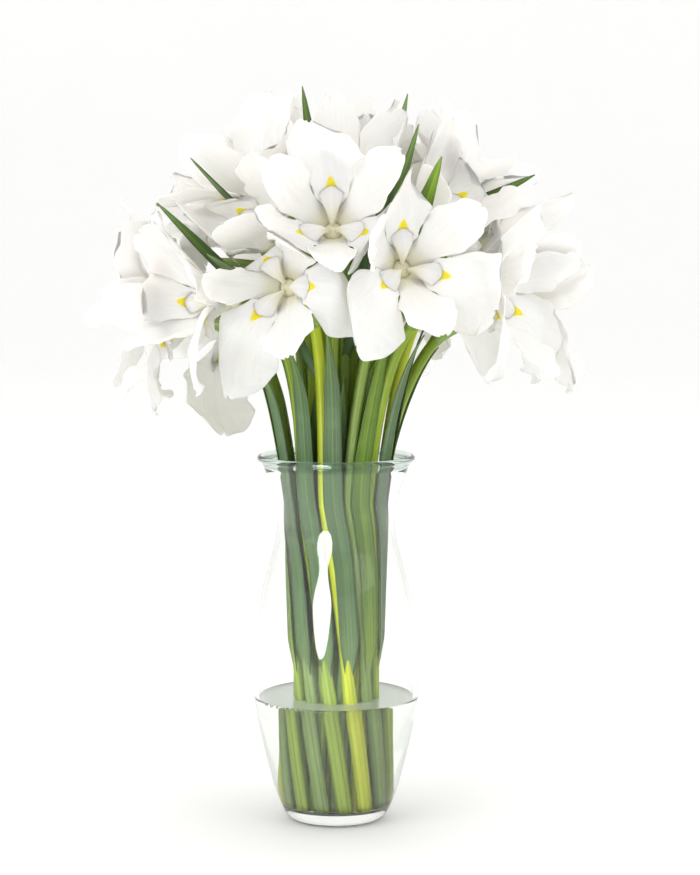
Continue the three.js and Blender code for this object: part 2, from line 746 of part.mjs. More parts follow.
// A leaf that rises from a stem into the gap between its bloom and a neighbour, in the plane of the wall.
function tipLeaf(spec) {
  const iris = irises[spec.stem - 1];
  const wall = wallBetween(iris, irises[spec.beside - 1]);
  const onWall = (p) => p.clone().addScaledVector(wall.out, wall.point.clone().sub(p).dot(wall.out));
  const { place: root, along, out } = stemFrame(iris, spec.from);
  const aim = HEAD_CENTRE.clone().addScaledVector(direction(spec.azimuth, spec.elevation), spec.distance);
  const tip = onWall(aim);
  const reach = tip.distanceTo(root);
  const first = root.clone().addScaledVector(along, TIP_START_PULL * reach);
  const second = onWall(tip.clone().lerp(root, TIP_END_PULL));
  const curve = new THREE.CubicBezierCurve3(root, first, second, tip);
  const [leaves, joins] = TIP_JOINS;
  return loft(
    TIP_SHAPE.map(([t, width]) => {
      const hold = smooth((t - leaves) / (joins - leaves));
      const free = curve.getPoint(t);
      const middle = free.lerp(onWall(free), hold);
      const facing = out.clone().negate();
      if (facing.dot(wall.out) < 0) facing.negate();
      facing.lerp(wall.out, hold).normalize();
      const across = curve.getTangent(t).cross(facing).normalize();
      const square = across.clone().cross(curve.getTangent(t)).normalize();
      const thick = hold === 1 ? wall.out : square;
      return bladeRing(middle, across, width * spec.half, thick, TIP_THICKNESS);
    }),
  );
}

// A stem with its sheath, its spathe, its strap leaf and any tip leaf, grown together.
function makeStem(iris) {
  const rings = STEM_ROWS.map(({ height, share = ringShare(height), halves }) => stemRing(iris, share, halves));
  const tips = LEAF_TIPS.filter((spec) => spec.stem === iris.index + 1).map(tipLeaf);
  return unite([loft(rings), strapLeaf(iris), ...tips]);
}

// The outline of a stem's hole where it meets a level, a gap wider than the stem.
function holeOutline(iris, height) {
  const { along } = stemFrame(iris, ringShare(height));
  const wide = SHEATH.map((half) => half + GAP);
  const around = stemRing(iris, ringShare(height), wide);
  return around.map((p) => p.addScaledVector(along, (height - p.z) / along.z));
}

// The water, up to its level in the vase, with a plain hole for each stem.
function makeWater() {
  const skin = new Skin();
  const levels = WATER_HEIGHTS.map((z) => [innerRadius(z) - GAP, z]);
  levels.push([floorRadius() - GAP, VASE_FLOOR + GAP]);
  const bearings = Array.from({ length: VASE_SIDES }, (_, k) => direction((360 * k) / VASE_SIDES, 0));
  const rings = levels
    .reverse()
    .map(([radius, z]) => skin.add(bearings.map((out) => out.clone().multiplyScalar(radius).setZ(z))));
  for (let i = 0; i + 1 < rings.length; i++) skin.band(rings[i], rings[i + 1]);
  const holes = irises.map((iris) => ({
    low: skin.add(holeOutline(iris, VASE_FLOOR + GAP)),
    high: skin.add(holeOutline(iris, WATER_LEVEL)),
  }));
  for (const { low, high } of holes) skin.band(low, high);
  const lid = (ring, openings, facingUp) => {
    const corners = [ring, ...openings].map((loop) => loop.map((k) => skin.points[k]));
    const flat = corners.map((loop) => loop.map((p) => new THREE.Vector2(p.x, p.y)));
    const all = [ring, ...openings].flat();
    for (const face of THREE.ShapeUtils.triangulateShape(flat[0], flat.slice(1))) {
      const [a, b, c] = face.map((k) => all[k]);
      const [p, q, r] = [a, b, c].map((k) => skin.points[k]);
      const turnsLeft = (q.x - p.x) * (r.y - p.y) > (q.y - p.y) * (r.x - p.x);
      if (turnsLeft === facingUp) skin.face(a, b, c);
      else skin.face(a, c, b);
    }
  };
  lid(rings.at(-1), holes.map((hole) => hole.high), true);
  lid(rings[0], holes.map((hole) => hole.low), false);
  return skin.solid();
}

const group = new THREE.Group();
group.add(meshOf("vase", makeVase(), clearGlass));
group.add(meshOf("water", makeWater(), clearWater));
irises.forEach((iris) => {
  const number = String(iris.index + 1).padStart(2, "0");
  group.add(meshOf(`stem_${number}`, makeStem(iris), stemGreen));
  group.add(meshOf(`bloom_${number}`, makeBloom(iris), petalWhite));
});

export default group;
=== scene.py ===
"""Cut white irises standing in water in a waisted clear glass vase, on a pale studio floor.

Sizes are in millimetres until a mesh is made, and then in metres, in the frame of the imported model: +Z up,
the viewer at -Y and the origin in the middle of the vase's flat underside. Every bloom and every leafy stem
repeats the formulas of the solid that it stands for, on a finer grid.
"""

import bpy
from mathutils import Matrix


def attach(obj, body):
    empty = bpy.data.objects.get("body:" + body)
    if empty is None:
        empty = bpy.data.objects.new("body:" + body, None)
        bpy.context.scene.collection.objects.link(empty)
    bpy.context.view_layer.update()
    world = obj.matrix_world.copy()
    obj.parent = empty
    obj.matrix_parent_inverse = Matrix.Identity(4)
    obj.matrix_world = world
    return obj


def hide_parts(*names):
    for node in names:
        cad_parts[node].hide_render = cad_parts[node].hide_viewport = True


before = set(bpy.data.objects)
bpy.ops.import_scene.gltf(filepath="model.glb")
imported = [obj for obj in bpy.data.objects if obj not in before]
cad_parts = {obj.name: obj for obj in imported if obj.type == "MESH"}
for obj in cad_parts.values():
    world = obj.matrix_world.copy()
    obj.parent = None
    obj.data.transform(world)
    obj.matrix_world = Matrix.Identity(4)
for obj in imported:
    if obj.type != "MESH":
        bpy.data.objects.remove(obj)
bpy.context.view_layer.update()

import logging
import math
from dataclasses import dataclass, field
from enum import Enum
from functools import partialmethod
from itertools import product

import bpy
import numpy as np
from numpy.typing import NDArray

Array = NDArray[np.float64]
Material = bpy.types.Material
Piece = bpy.types.Object
Socket = bpy.types.NodeSocket
Value = float | Socket
Colour = tuple[float, float, float]
Lie = tuple[float, float, float]
log = logging.getLogger("irises")

MM = 0.001
HEAD_CENTRE: Array = np.array([4.0, 0.0, 305.0])
PETAL_FREE_RADIUS = 80.0
BASE_FREE_RADIUS = 10.0
BASE_FADE = 16.0
LEVEL_TILT = 20.0
CELL_LIFT = 38.0
NEIGHBOUR_REACH = 150.0
TUBE_LENGTH = 8.0
STEM_GAP = 0.3
LEAF_ROOM = 8.0
CELL_MARGIN = -7.0
CELL_SOFTNESS = 12.0
CELL_PASSES = 4
BLOOM_SEED = 400
BUBBLE_SEED = 78
WATER_LEVEL = 78.0

# Each bloom: its ring in the vase, the azimuth, elevation and distance of its base from the head's centre,
# the azimuth and elevation that it faces, the turn of its first fall, and its level among its neighbours.
BLOOMS = (
    (0, -21, 23, 94, -22, 8, -32, -0.3),
    (0, 24, 29, 98, 16, 14, -52, 0.8),
    (0, 60, 18, 98, 70, 2, 60, 1),
    (0, 81, 34, 106, 70, 30, 40, 0),
    (0, 103, 10, 104, 100, 6, 60, 0),
    (0, 135, 22, 96, 138, 12, 0, 1),
    (0, 165, 8, 86, 165, 2, 30, 0),
    (0, 195, 22, 96, 195, 14, -25, 1),
    (0, 228, 6, 86, 226, 0, 15, 0),
    (0, 264, 18, 102, 266, 12, -20, 1),
    (0, 290, 8, 98, 280, 0, 60, 0),
    (0, 310, 17, 94, 297, 12, 50, 1),
    (1, -4, 42, 104, -2, 28, 62, 0.6),
    (1, 53, 49, 96, 40, 43, -15, 0.5),
    (1, 86, 53, 102, 75, 45, 0, 1),
    (1, 106, 38, 94, 104, 30, 30, 0),
    (1, 140, 52, 94, 140, 45, -20, 0),
    (1, 180, 45, 90, 182, 40, 15, 0),
    (1, 222, 42, 96, 222, 34, -10, 1),
    (1, 262, 50, 90, 262, 48, 30, 0),
    (1, 322, 42, 94, 318, 30, -15, 0.5),
    (2, 304, 59, 100, 298, 50, -20, 1),
    (2, 8, 67, 92, 10, 58, 20, 0.5),
    (2, 130, 70, 90, 135, 62, -25, 0),
    (2, 240, 70, 93, 240, 60, 10, 0),
    (3, 340, 90, 92, 330, 84, 40, 0),
)

# Leaves whose tips show between blooms: stem, share of its way where the leaf leaves it, the bloom beyond the
# gap that it rises in, the azimuth, elevation and distance of its tip, and its half width.
LEAF_TIPS = (
    (23, 1.45, 26, 59, 73, 160, 5.5),
    (2, 1.45, 14, 36, 49, 170, 9),
    (23, 1.5, 14, 32, 58, 158, 6),
    (12, 1.55, 21, -63, 40, 150, 5.5),
    (25, 1.5, 26, -127, 79, 162, 5.5),
    (1, 1.45, 21, -37, 26, 154, 6),
    (22, 1.5, 21, -50, 45, 166, 5.5),
    (15, 1.45, 4, 75, 46, 166, 6),
    (6, 1.5, 17, 140, 38, 150, 5),
    (8, 1.25, 18, 188, 36, 145, 5),
    (19, 1.5, 9, 225, 26, 145, 5),
)


def smooth(x: Array | float) -> Array:
    """Smoothstep from 0 to 1: 3x² - 2x³, held at its ends."""
    x = np.clip(x, 0.0, 1.0)
    return x * x * (3.0 - 2.0 * x)


def unit(v: Array) -> Array:
    """Vectors divided by their own lengths."""
    return v / np.maximum(np.linalg.norm(v, axis=-1, keepdims=True), 1e-9)


def paired(u: Array, v: Array) -> Array:
    """Two coordinates side by side in a last axis, each spread over their common grid."""
    return np.stack(np.broadcast_arrays(u, v), axis=-1)


def direction(azimuth: float | Array, elevation: float) -> Array:
    """Unit vector (cos e sin a, -cos e cos a, sin e), or a row of them.

    Args:
        azimuth: degrees about +Z from -Y, the viewer's side, towards the viewer's right.
        elevation: degrees above level.

    Returns:
        The vector or vectors.
    """
    a, e = np.radians(azimuth), math.radians(elevation)
    up = np.full(np.shape(a), math.sin(e))
    return np.stack([math.cos(e) * np.sin(a), -math.cos(e) * np.cos(a), up], axis=-1)


def turned_rings(profile: Array, sides: int) -> Array:
    """Rings of points about +Z: each (r, z) of the profile makes (r sin a, -r cos a, z).

    Args:
        profile: radii and heights.
        sides: points in each ring.

    Returns:
        The rings, rows by points by 3.
    """
    rings = direction(360.0 * np.arange(sides) / sides, 0.0)[None] * profile[:, 0][:, None, None]
    rings[..., 2] = profile[:, 1][:, None]
    return rings


def swept(place: Array, *moves: tuple[Array, Array]) -> Array:
    """A grid of points beside a line.

    Args:
        place: the line's points.
        moves: directions, a row for each of these points, and the grid's distances along them.

    Returns:
        Each row's place plus its directions times the distances.
    """
    grid = place[:, None]
    for way, distance in moves:
        grid = grid + way[:, None] * distance[..., None]
    return grid


@dataclass
class Patch:
    """A piece of closed skin: its points, faces, surface coordinates and finish."""

    points: Array
    faces: list[list[int]]
    uv: Array
    slot: int = 0


def shell(grid: Array, thickness: Array | float, uv: Array, slot: int = 0) -> Patch:
    """A thin closed sheet: grid ± thickness/2 along the normal across × along, and a rim.

    Args:
        grid: rows by columns by 3.
        thickness: one value, or one for each point.
        uv: rows by columns by 2.
        slot: index of the finish.

    Returns:
        The sheet.
    """
    rows, columns = grid.shape[:2]
    back = rows * columns
    along, across = np.gradient(grid, axis=0), np.gradient(grid, axis=1)
    offset = unit(np.cross(across, along)) * (np.broadcast_to(thickness, (rows, columns)) / 2)[..., None]
    points = np.concatenate([(grid + offset).reshape(-1, 3), (grid - offset).reshape(-1, 3)])
    index = np.arange(back).reshape(rows, columns)
    a, b, c, d = index[:-1, :-1], index[:-1, 1:], index[1:, 1:], index[1:, :-1]
    upper = np.stack([a, b, c, d], axis=-1).reshape(-1, 4)
    lower = np.stack([a, d, c, b], axis=-1).reshape(-1, 4) + back
    loop = np.concatenate([index[0, :-1], index[:-1, -1], index[-1, :0:-1], index[:0:-1, 0]])
    following = np.roll(loop, -1)
    rim = np.stack([following, loop, loop + back, following + back], axis=-1)
    faces = np.concatenate([upper, lower, rim]).tolist()
    return Patch(points, faces, np.tile(uv.reshape(-1, 2), (2, 1)), slot)


def tube(rings: Array, v: Array, slot: int = 0) -> Patch:
    """A closed tube, whose first surface coordinate |2k/n - 1| runs around without a seam.

    Args:
        rings: rows by points by 3, anticlockwise seen from the last ring.
        v: the second surface coordinate of each ring.
        slot: index of the finish.

    Returns:
        The tube, whose last two faces are its ends.
    """
    rows, count = rings.shape[:2]
    index = np.arange(rows * count).reshape(rows, count)
    turned = np.roll(index, -1, axis=1)
    sides = np.stack([index[:-1], turned[:-1], turned[1:], index[1:]], axis=-1).reshape(-1, 4)
    faces = sides.tolist() + [index[0, ::-1].tolist(), index[-1].tolist()]
    uv = paired(np.abs(2.0 * np.arange(count) / count - 1.0)[None], np.asarray(v)[:, None])
    return Patch(rings.reshape(-1, 3), faces, uv.reshape(-1, 2), slot)


def turned_skin(profile: Array, sides: int) -> Patch:
    """A closed solid turned about the vase's axis, with a pole at each end.

    Args:
        profile: radius and height, from the lower pole outwards and round to the upper one.
        sides: points in each ring.

    Returns:
        The skin.
    """
    rings = turned_rings(profile[1:-1], sides)
    patch = tube(rings, np.linspace(0.0, 1.0, len(rings)))
    low = len(patch.points)
    patch.points = np.concatenate([patch.points, [[0.0, 0.0, profile[0, 1]], [0.0, 0.0, profile[-1, 1]]]])
    patch.uv = np.concatenate([patch.uv, [[0.5, 0.0], [0.5, 1.0]]])
    *patch.faces, lower, upper = patch.faces
    for pole, ring in ((low, lower), (low + 1, upper)):
        patch.faces += [[a, b, pole] for a, b in zip(ring, ring[1:] + ring[:1])]
    return patch


def add_object(name: str, data: bpy.types.ID) -> Piece:
    """A new object in the scene.

    Args:
        name: the object's name.
        data: its mesh, light or camera.

    Returns:
        The object.
    """
    made = bpy.data.objects.new(name, data)
    bpy.context.scene.collection.objects.link(made)
    return made


def make_object(name: str, patches: list[Patch], finishes: list[Material]) -> Piece:
    """An object at the origin from patches in millimetres.

    Args:
        name: the object's name.
        patches: closed skins to join.
        finishes: the materials that the patches' slots count in.

    Returns:
        The object.
    """
    points = np.concatenate([patch.points for patch in patches]) * MM
    starts = np.cumsum([0] + [len(patch.points) for patch in patches])
    faces = [[k + start for k in face] for patch, start in zip(patches, starts) for face in patch.faces]
    mesh = bpy.data.meshes.new(name)
    mesh.from_pydata(points.tolist(), [], faces)
    uv = np.concatenate([patch.uv for patch in patches])
    corners = np.empty(len(mesh.loops), dtype=np.int32)
    mesh.loops.foreach_get("vertex_index", corners)
    mesh.uv_layers.new(name="surface").data.foreach_set("uv", uv[corners].ravel())
    slots = np.concatenate([np.full(len(patch.faces), patch.slot, dtype=np.int32) for patch in patches])
    mesh.polygons.foreach_set("material_index", slots)
    mesh.polygons.foreach_set("use_smooth", np.ones(len(faces), dtype=bool))
    for finish in finishes:
        mesh.materials.append(finish)
    mesh.update()
    return add_object(name, mesh)


def make_piece(name: str, patches: list[Patch], finishes: list[Material]) -> Piece:
    """An object of the part itself, riding on the one body of the model.

    Args:
        name: the object's name.
        patches: closed skins to join.
        finishes: the materials that the patches' slots count in.

    Returns:
        The piece.
    """
    piece = make_object(name, patches, finishes)
    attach(piece, "root")
    return piece


@dataclass(frozen=True)
class Layer:
    """A mask: a share of the smooth step from low to high, which falls where low is above high."""

    low: float
    high: float
    share: float


class Recipe:
    """A material being made: short calls that add a node and join its inputs."""

    def __init__(self, material: Material | bpy.types.World, shader: str = "Principled BSDF") -> None:
        """Starts a recipe.

        Args:
            material: the material or world.
            shader: the name of its one shader.
        """
        material.use_nodes = True
        self.material, self.tree = material, material.node_tree
        self.shader = self.tree.nodes[shader]

    def put(self, socket: Socket, value: Value | Colour) -> None:
        """Joins a socket to an input, or sets the input's constant.

        Args:
            socket: the input.
            value: a socket or a constant.
        """
        if isinstance(value, Socket):
            self.tree.links.new(value, socket)
        elif isinstance(value, tuple) and len(value) == 3 and socket.type == "RGBA":
            socket.default_value = (*value, 1.0)
        else:
            socket.default_value = value

    def node(self, kind: str, inputs: dict[str | int, Value | Colour], **settings: object) -> bpy.types.Node:
        """Adds a node.

        Args:
            kind: its type, without the ShaderNode prefix.
            inputs: constants or sockets by input name or index.
            settings: its properties.

        Returns:
            The node.
        """
        made = self.tree.nodes.new("ShaderNode" + kind)
        for key, value in settings.items():
            setattr(made, key, value)
        for key, value in inputs.items():
            self.put(made.inputs[key], value)
        return made

    def math(self, operation: str, a: Value, b: Value = 0.0) -> Socket:
        """One arithmetic step on two values."""
        return self.node("Math", {0: a, 1: b}, operation=operation).outputs[0]

    times = partialmethod(math, "MULTIPLY")
    plus = partialmethod(math, "ADD")
    minus = partialmethod(math, "SUBTRACT")
    over_by = partialmethod(math, "DIVIDE")

    def fade(self, value: Value, low: float, high: float) -> Socket:
        """A smooth step of a value.

        Args:
            value: the value.
            low: where the step is 0.
            high: where it is 1, above or below low.

        Returns:
            The step.
        """
        if low > high:
            return self.minus(1.0, self.fade(value, high, low))
        inputs = {"Value": value, "From Min": low, "From Max": high}
        return self.node("MapRange", inputs, interpolation_type="SMOOTHSTEP").outputs[0]

    def mask(self, value: Value, layer: Layer) -> Socket:
        """A value's smooth step, times the layer's share."""
        return self.times(self.fade(value, layer.low, layer.high), layer.share)

    def between(self, value: Value, low: float, high: float) -> Socket:
        """A value from 0 to 1 spread over another range."""
        return self.node("MapRange", {"Value": value, "To Min": low, "To Max": high}).outputs[0]

    def blend(self, factor: Value, a: Socket | Colour, b: Socket | Colour) -> Socket:
        """A colour between two, by a factor."""
        return self.node("Mix", {0: factor, 6: a, 7: b}, data_type="RGBA").outputs[2]

    def over(self, below: Socket, above: Colour, value: Value, layer: Layer) -> Socket:
        """One colour laid over another through a layer's mask."""
        return self.blend(self.mask(value, layer), below, above)

    def noise(self, vector: Socket, scale: float, detail: float = 2.0) -> Socket:
        """Soft noise at a scale in the vector's own unit."""
        return self.node("TexNoise", {"Vector": vector, "Scale": scale, "Detail": detail}).outputs[0]

    def surface(self) -> tuple[Socket, Socket]:
        """The piece's own two surface coordinates."""
        split = self.node("SeparateXYZ", {0: self.node("UVMap", {}, uv_map="surface").outputs[0]})
        return split.outputs[0], split.outputs[1]

    def vector(self, x: Value, y: Value) -> Socket:
        """A vector from two values."""
        return self.node("CombineXYZ", {0: x, 1: y}).outputs[0]

    def place(self) -> Socket:
        """Object coordinates, in metres."""
        return self.node("TexCoord", {}).outputs["Object"]

    def bump(self, height: Value, strength: float, distance: float) -> None:
        """Raises the surface by a height, of the distance in metres at 1."""
        made = self.node("Bump", {"Height": height, "Strength": strength, "Distance": distance})
        self.put(self.shader.inputs["Normal"], made.outputs[0])

    def finish(self, **inputs: Value | Colour) -> Material:
        """Sets the shader's inputs.

        Args:
            inputs: constants or sockets by name, with underscores for spaces.

        Returns:
            The material.
        """
        for key, value in inputs.items():
            self.put(self.shader.inputs[key.replace("_", " ")], value)
        return self.material


class Organ(Enum):
    """The parts of a bloom that differ in finish."""

    FALL = 0
    STANDARD = 1
    STYLE = 2


# A petal's surface coordinates: millimetres across over the first span, from its middle at a half, and
# millimetres along over the second.
ACROSS_SPAN = 100.0
ALONG_SPAN = 100.0


@dataclass(frozen=True)
class PetalFinish:
    """White petal tissue: faint veins, a green-cream root, and on a fall the yellow signal."""

    organ: Organ
    white: Colour = (0.955, 0.945, 0.92)
    shade: Colour = (0.93, 0.875, 0.80)
    blush: Colour = (0.955, 0.895, 0.825)
    root: Colour = (0.92, 0.87, 0.58)
    signal: Colour = (0.98, 0.76, 0.0)
    halo: Colour = (0.94, 0.88, 0.50)
    root_reach: float = 17.0
    signal_middle: float = 25.0
    signal_half_length: float = 7.5
    signal_half_width: float = 5.88
    signal_taper: float = 0.65
    signal_rag: float = 0.5
    veined: Layer = Layer(0.46, 0.7, 0.5)
    clouded: Layer = Layer(0.45, 0.75, 0.4)
    blushed: Layer = Layer(0.5, 0.72, 0.6)
    haloed: Layer = Layer(1.7, 1.0, 0.5)
    signalled: Layer = Layer(1.15, 0.95, 0.98)

    def signal_distance(self, recipe: Recipe, x: Socket, y: Socket) -> Socket:
        """Distance from the signal's middle, √((x/w)² + ((y - m)/l)²), with w tapering outwards.

        Args:
            recipe: the material being made.
            x: millimetres across.
            y: millimetres along.

        Returns:
            The distance.
        """
        along = recipe.over_by(recipe.minus(y, self.signal_middle), self.signal_half_length)
        taper = recipe.minus(1.0, recipe.mask(along, Layer(-1.0, 1.0, self.signal_taper)))
        across = recipe.over_by(x, recipe.times(taper, self.signal_half_width))
        squares = [recipe.math("POWER", recipe.math("ABSOLUTE", part), 2.0) for part in (across, along)]
        return recipe.math("SQRT", recipe.plus(*squares))

    def make(self) -> Material:
        """Builds the node material.

        Veins are noise in x/(1 + 0.03y) and 0.035y, in millimetres across and along, so they fan out. They
        and clouds lay grey cream over the white, larger clouds a warm cream, and the root's colour fades.

        Returns:
            The material.
        """
        recipe = Recipe(bpy.data.materials.new("petal_" + self.organ.name.lower()))
        is_fall = self.organ is Organ.FALL
        u, v = recipe.surface()
        x = recipe.times(recipe.minus(u, 0.5), ACROSS_SPAN)
        y = recipe.times(v, ALONG_SPAN)
        fanned = recipe.over_by(x, recipe.plus(recipe.times(y, 0.03), 1.0))
        veins = recipe.noise(recipe.vector(fanned, recipe.times(y, 0.035)), scale=1.3, detail=3.0)
        cloud = recipe.noise(recipe.place(), scale=45.0)
        grey = recipe.plus(recipe.mask(veins, self.veined), recipe.mask(cloud, self.clouded))
        colour = recipe.blend(grey, self.white, self.shade)
        colour = recipe.over(colour, self.blush, recipe.noise(recipe.place(), scale=16.0), self.blushed)
        rooted = Layer(self.root_reach, 0.25 * self.root_reach, 0.85 if is_fall else 0.7)
        colour = recipe.over(colour, self.root, y, rooted)
        if is_fall:
            ragged = recipe.plus(self.signal_distance(recipe, x, y), recipe.times(veins, self.signal_rag))
            colour = recipe.over(colour, self.halo, ragged, self.haloed)
            colour = recipe.over(colour, self.signal, ragged, self.signalled)
        relief = recipe.plus(recipe.times(veins, 0.7), recipe.times(cloud, 0.5))
        recipe.bump(relief, strength=0.6, distance=0.0008)
        return recipe.finish(
            Base_Color=colour,
            Roughness=recipe.between(cloud, 0.42, 0.62),
            Specular_IOR_Level=0.32,
            Subsurface_Weight=0.6,
            Subsurface_Radius=(1.0, 0.92, 0.78),
            Subsurface_Scale=0.006,
        )


class Green(Enum):
    """The tissues of a leafy stem."""

    STEM = 0
    LEAF = 1
    SPATHE = 2


# For each tissue, how many veins lie across it, and where its foot's colour ends, its middle's begins and
# ends, and its tip's begins, as shares of its length.
GRAINS = {
    Green.STEM: (9.0, (0.12, 0.3, 0.5, 0.8)),
    Green.LEAF: (16.0, (0.0, 0.25, 0.75, 1.0)),
    Green.SPATHE: (12.0, (0.0, 0.3, 0.6, 1.0)),
}

# Each tissue's tones: the name, and the colours of foot, middle, tip and veins, which also
# paint the shade at the edges.
TONES = {
    Green.STEM: (
        ("stem_lime", (0.74, 0.80, 0.05), (0.64, 0.70, 0.015), (0.40, 0.52, 0.01), (0.46, 0.54, 0.01)),
        ("stem_grass", (0.42, 0.56, 0.06), (0.32, 0.46, 0.012), (0.24, 0.36, 0.01), (0.18, 0.28, 0.01)),
        ("stem_sheath", (0.30, 0.42, 0.12), (0.22, 0.32, 0.06), (0.26, 0.38, 0.02), (0.13, 0.22, 0.05)),
    ),
    Green.LEAF: (
        ("leaf_blue", (0.20, 0.30, 0.11), (0.10, 0.195, 0.07), (0.20, 0.33, 0.05), (0.06, 0.11, 0.04)),
        ("leaf_green", (0.32, 0.44, 0.04), (0.15, 0.27, 0.015), (0.28, 0.44, 0.03), (0.07, 0.14, 0.01)),
        ("leaf_dark", (0.12, 0.20, 0.05), (0.055, 0.11, 0.027), (0.14, 0.25, 0.025), (0.03, 0.06, 0.01)),
    ),
    Green.SPATHE: (
        ("spathe_valve", (0.26, 0.42, 0.08), (0.25, 0.42, 0.09), (0.5, 0.55, 0.28), (0.16, 0.3, 0.05)),
    ),
}

# The tone of each stem and of its leaves.
STEM_TONES = (0, 2, 1, 0, 1, 2, 1, 0, 2, 1, 2, 1, 1, 2, 0, 1, 2, 1, 0, 2, 1, 0, 2, 1, 0, 1)
LEAF_TONES = (0, 1, 0, 2, 0, 1, 0, 2, 0, 1, 0, 0, 2, 0, 2, 1, 0, 2, 1, 0, 2, 2, 0, 1, 2, 0)


@dataclass(frozen=True)
class GreenFinish:
    """Leaf or stem tissue with parallel veins, changing colour from foot to tip."""

    name: str
    foot: Colour
    middle: Colour
    tip: Colour
    # the veins' colour, also used for the painted shade at the edges
    vein_and_edge_shade: Colour
    vein_count: float
    change: tuple[float, float, float, float]
    veined: Layer = Layer(0.46, 0.62, 0.75)
    mottled: Layer = Layer(0.5, 0.8, 0.3)
    # painted shade: darker towards both edges, to show the roundness of leaf and stem
    painted_edge_shade: Layer = Layer(0.22, 0.5, 0.75)
    ribbed: Layer = Layer(0.06, 0.015, 0.45)

    def make(self) -> Material:
        """Builds the node material.

        Two smooth steps along the piece change its colour. Stretched noise takes the veins' colour, and both
        edges darken to it as painted shade for the roundness; soft mottles and the rib in the middle take the
        foot's.

        Returns:
            The material.
        """
        recipe = Recipe(bpy.data.materials.new(self.name))
        u, v = recipe.surface()
        veins = recipe.noise(recipe.vector(u, recipe.times(v, 0.12)), self.vein_count)
        mottle = recipe.noise(recipe.place(), scale=60.0, detail=3.0)
        side = recipe.math("ABSOLUTE", recipe.minus(u, 0.5))
        first, second, third, last = self.change
        colour = recipe.blend(recipe.fade(v, first, second), self.foot, self.middle)
        colour = recipe.blend(recipe.fade(v, third, last), colour, self.tip)
        colour = recipe.over(colour, self.vein_and_edge_shade, veins, self.veined)
        colour = recipe.over(colour, self.foot, mottle, self.mottled)
        # painted shade: both edges darken to the veins' colour
        colour = recipe.over(colour, self.vein_and_edge_shade, side, self.painted_edge_shade)
        colour = recipe.over(colour, self.foot, side, self.ribbed)
        recipe.bump(veins, strength=0.5, distance=0.0006)
        return recipe.finish(
            Base_Color=colour,
            Roughness=recipe.between(mottle, 0.36, 0.55),
            Specular_IOR_Level=0.45,
            Subsurface_Weight=0.12,
            Subsurface_Radius=(0.4, 1.0, 0.2),
            Subsurface_Scale=0.003,
        )


@dataclass(frozen=True)
class ClearFinish:
    """A clear solid or liquid, glass or water, with another tint above a height in metres."""

    name: str
    tint: Colour
    index: float
    wave_scale: float
    wave_depth: float
    thick_tint: Colour
    thick_height: float
    blur: float = 0.003
    haze: float = 0.015

    def make(self) -> Material:
        """Builds the node material: noise for waves, haze and tint, and a step of height between tints.

        Returns:
            The material.
        """
        recipe = Recipe(bpy.data.materials.new(self.name))
        wave = recipe.noise(recipe.place(), self.wave_scale)
        recipe.bump(wave, 1.0, self.wave_depth)
        paler = tuple(min(1.0, 1.02 * channel) for channel in self.tint)
        height = recipe.node("SeparateXYZ", {0: recipe.place()}).outputs[2]
        thick = recipe.fade(height, self.thick_height - self.blur, self.thick_height)
        return recipe.finish(
            Base_Color=recipe.blend(thick, recipe.blend(wave, self.tint, paler), self.thick_tint),
            Roughness=recipe.between(wave, 0.0, self.haze),
            Transmission_Weight=1.0,
            IOR=self.index,
        )


GLASS = ClearFinish(
    "clear_glass", tint=(0.95, 0.972, 0.95), index=1.45, wave_scale=9.0, wave_depth=0.00006,
    thick_tint=(0.66, 0.76, 0.70), thick_height=0.2275,
)
WATER = ClearFinish(
    "still_water", tint=(0.99, 0.995, 0.965), index=1.33, wave_scale=30.0, wave_depth=0.00015,
    thick_tint=(0.99, 0.995, 0.965), thick_height=1.0,
)


def make_sheen_film_finish() -> Material:
    """A pale, half clear sheet on the water, painted light that stands in for the pale sheen of the water's
    surface, with soft clouds in its colour and its gloss.

    Returns:
        The material.
    """
    recipe = Recipe(bpy.data.materials.new("water_sheen_film"))
    # painted sheen: pale colours that stand in for the light the water's surface reflects
    cloud = recipe.noise(recipe.place(), scale=70.0)
    return recipe.finish(
        Base_Color=recipe.blend(cloud, (0.98, 1.0, 0.96), (0.93, 0.97, 0.91)),
        Roughness=recipe.between(cloud, 0.1, 0.3),
        Transmission_Weight=0.35,
        IOR=1.6,
        Coat_Weight=0.6,
    )


@dataclass(frozen=True)
class PetalForm:
    """One kind of petal, in millimetres and degrees, with the changes of its lie to choose from."""

    organ: Organ
    claw: float
    blade: float
    root: float
    lift: float
    root_half: float
    blade_half: float
    rise: float
    curl: float
    claw_half: float = 0.0
    arch: float = 0.0
    rises: tuple[float, ...] = ()
    curls: tuple[float, ...] = ()
    sways: tuple[float, ...] = ()
    rows: int = 18
    columns: int = 13
    thickness: float = 0.45
    ruffle: float = 0.0
    notch: float = 0.0

    @property
    def length(self) -> float:
        """Claw and blade together."""
        return self.claw + self.blade

    def half(self, t: Array, roundness: float) -> Array:
        """Half width: smooth steps to claw and blade, then the ellipse √(1 - ((b - ½)/roundness)²).

        Args:
            t: shares of the length.
            roundness: the ellipse's half axis, larger for a blunter tip.

        Returns:
            Half widths in millimetres.
        """
        share = self.claw / self.length
        low = self.root_half + (self.claw_half - self.root_half) * smooth(1.6 * t / share)
        b = (t - share) / (1.0 - share)
        grown = self.claw_half + (self.blade_half - self.claw_half) * smooth(b / 0.42)
        tip = np.where(b < 0.5, 1.0, np.sqrt(np.maximum(0.0, 1.0 - ((b - 0.5) / roundness) ** 2)))
        return np.where(t <= share, low, np.maximum(grown * tip, 1.2))


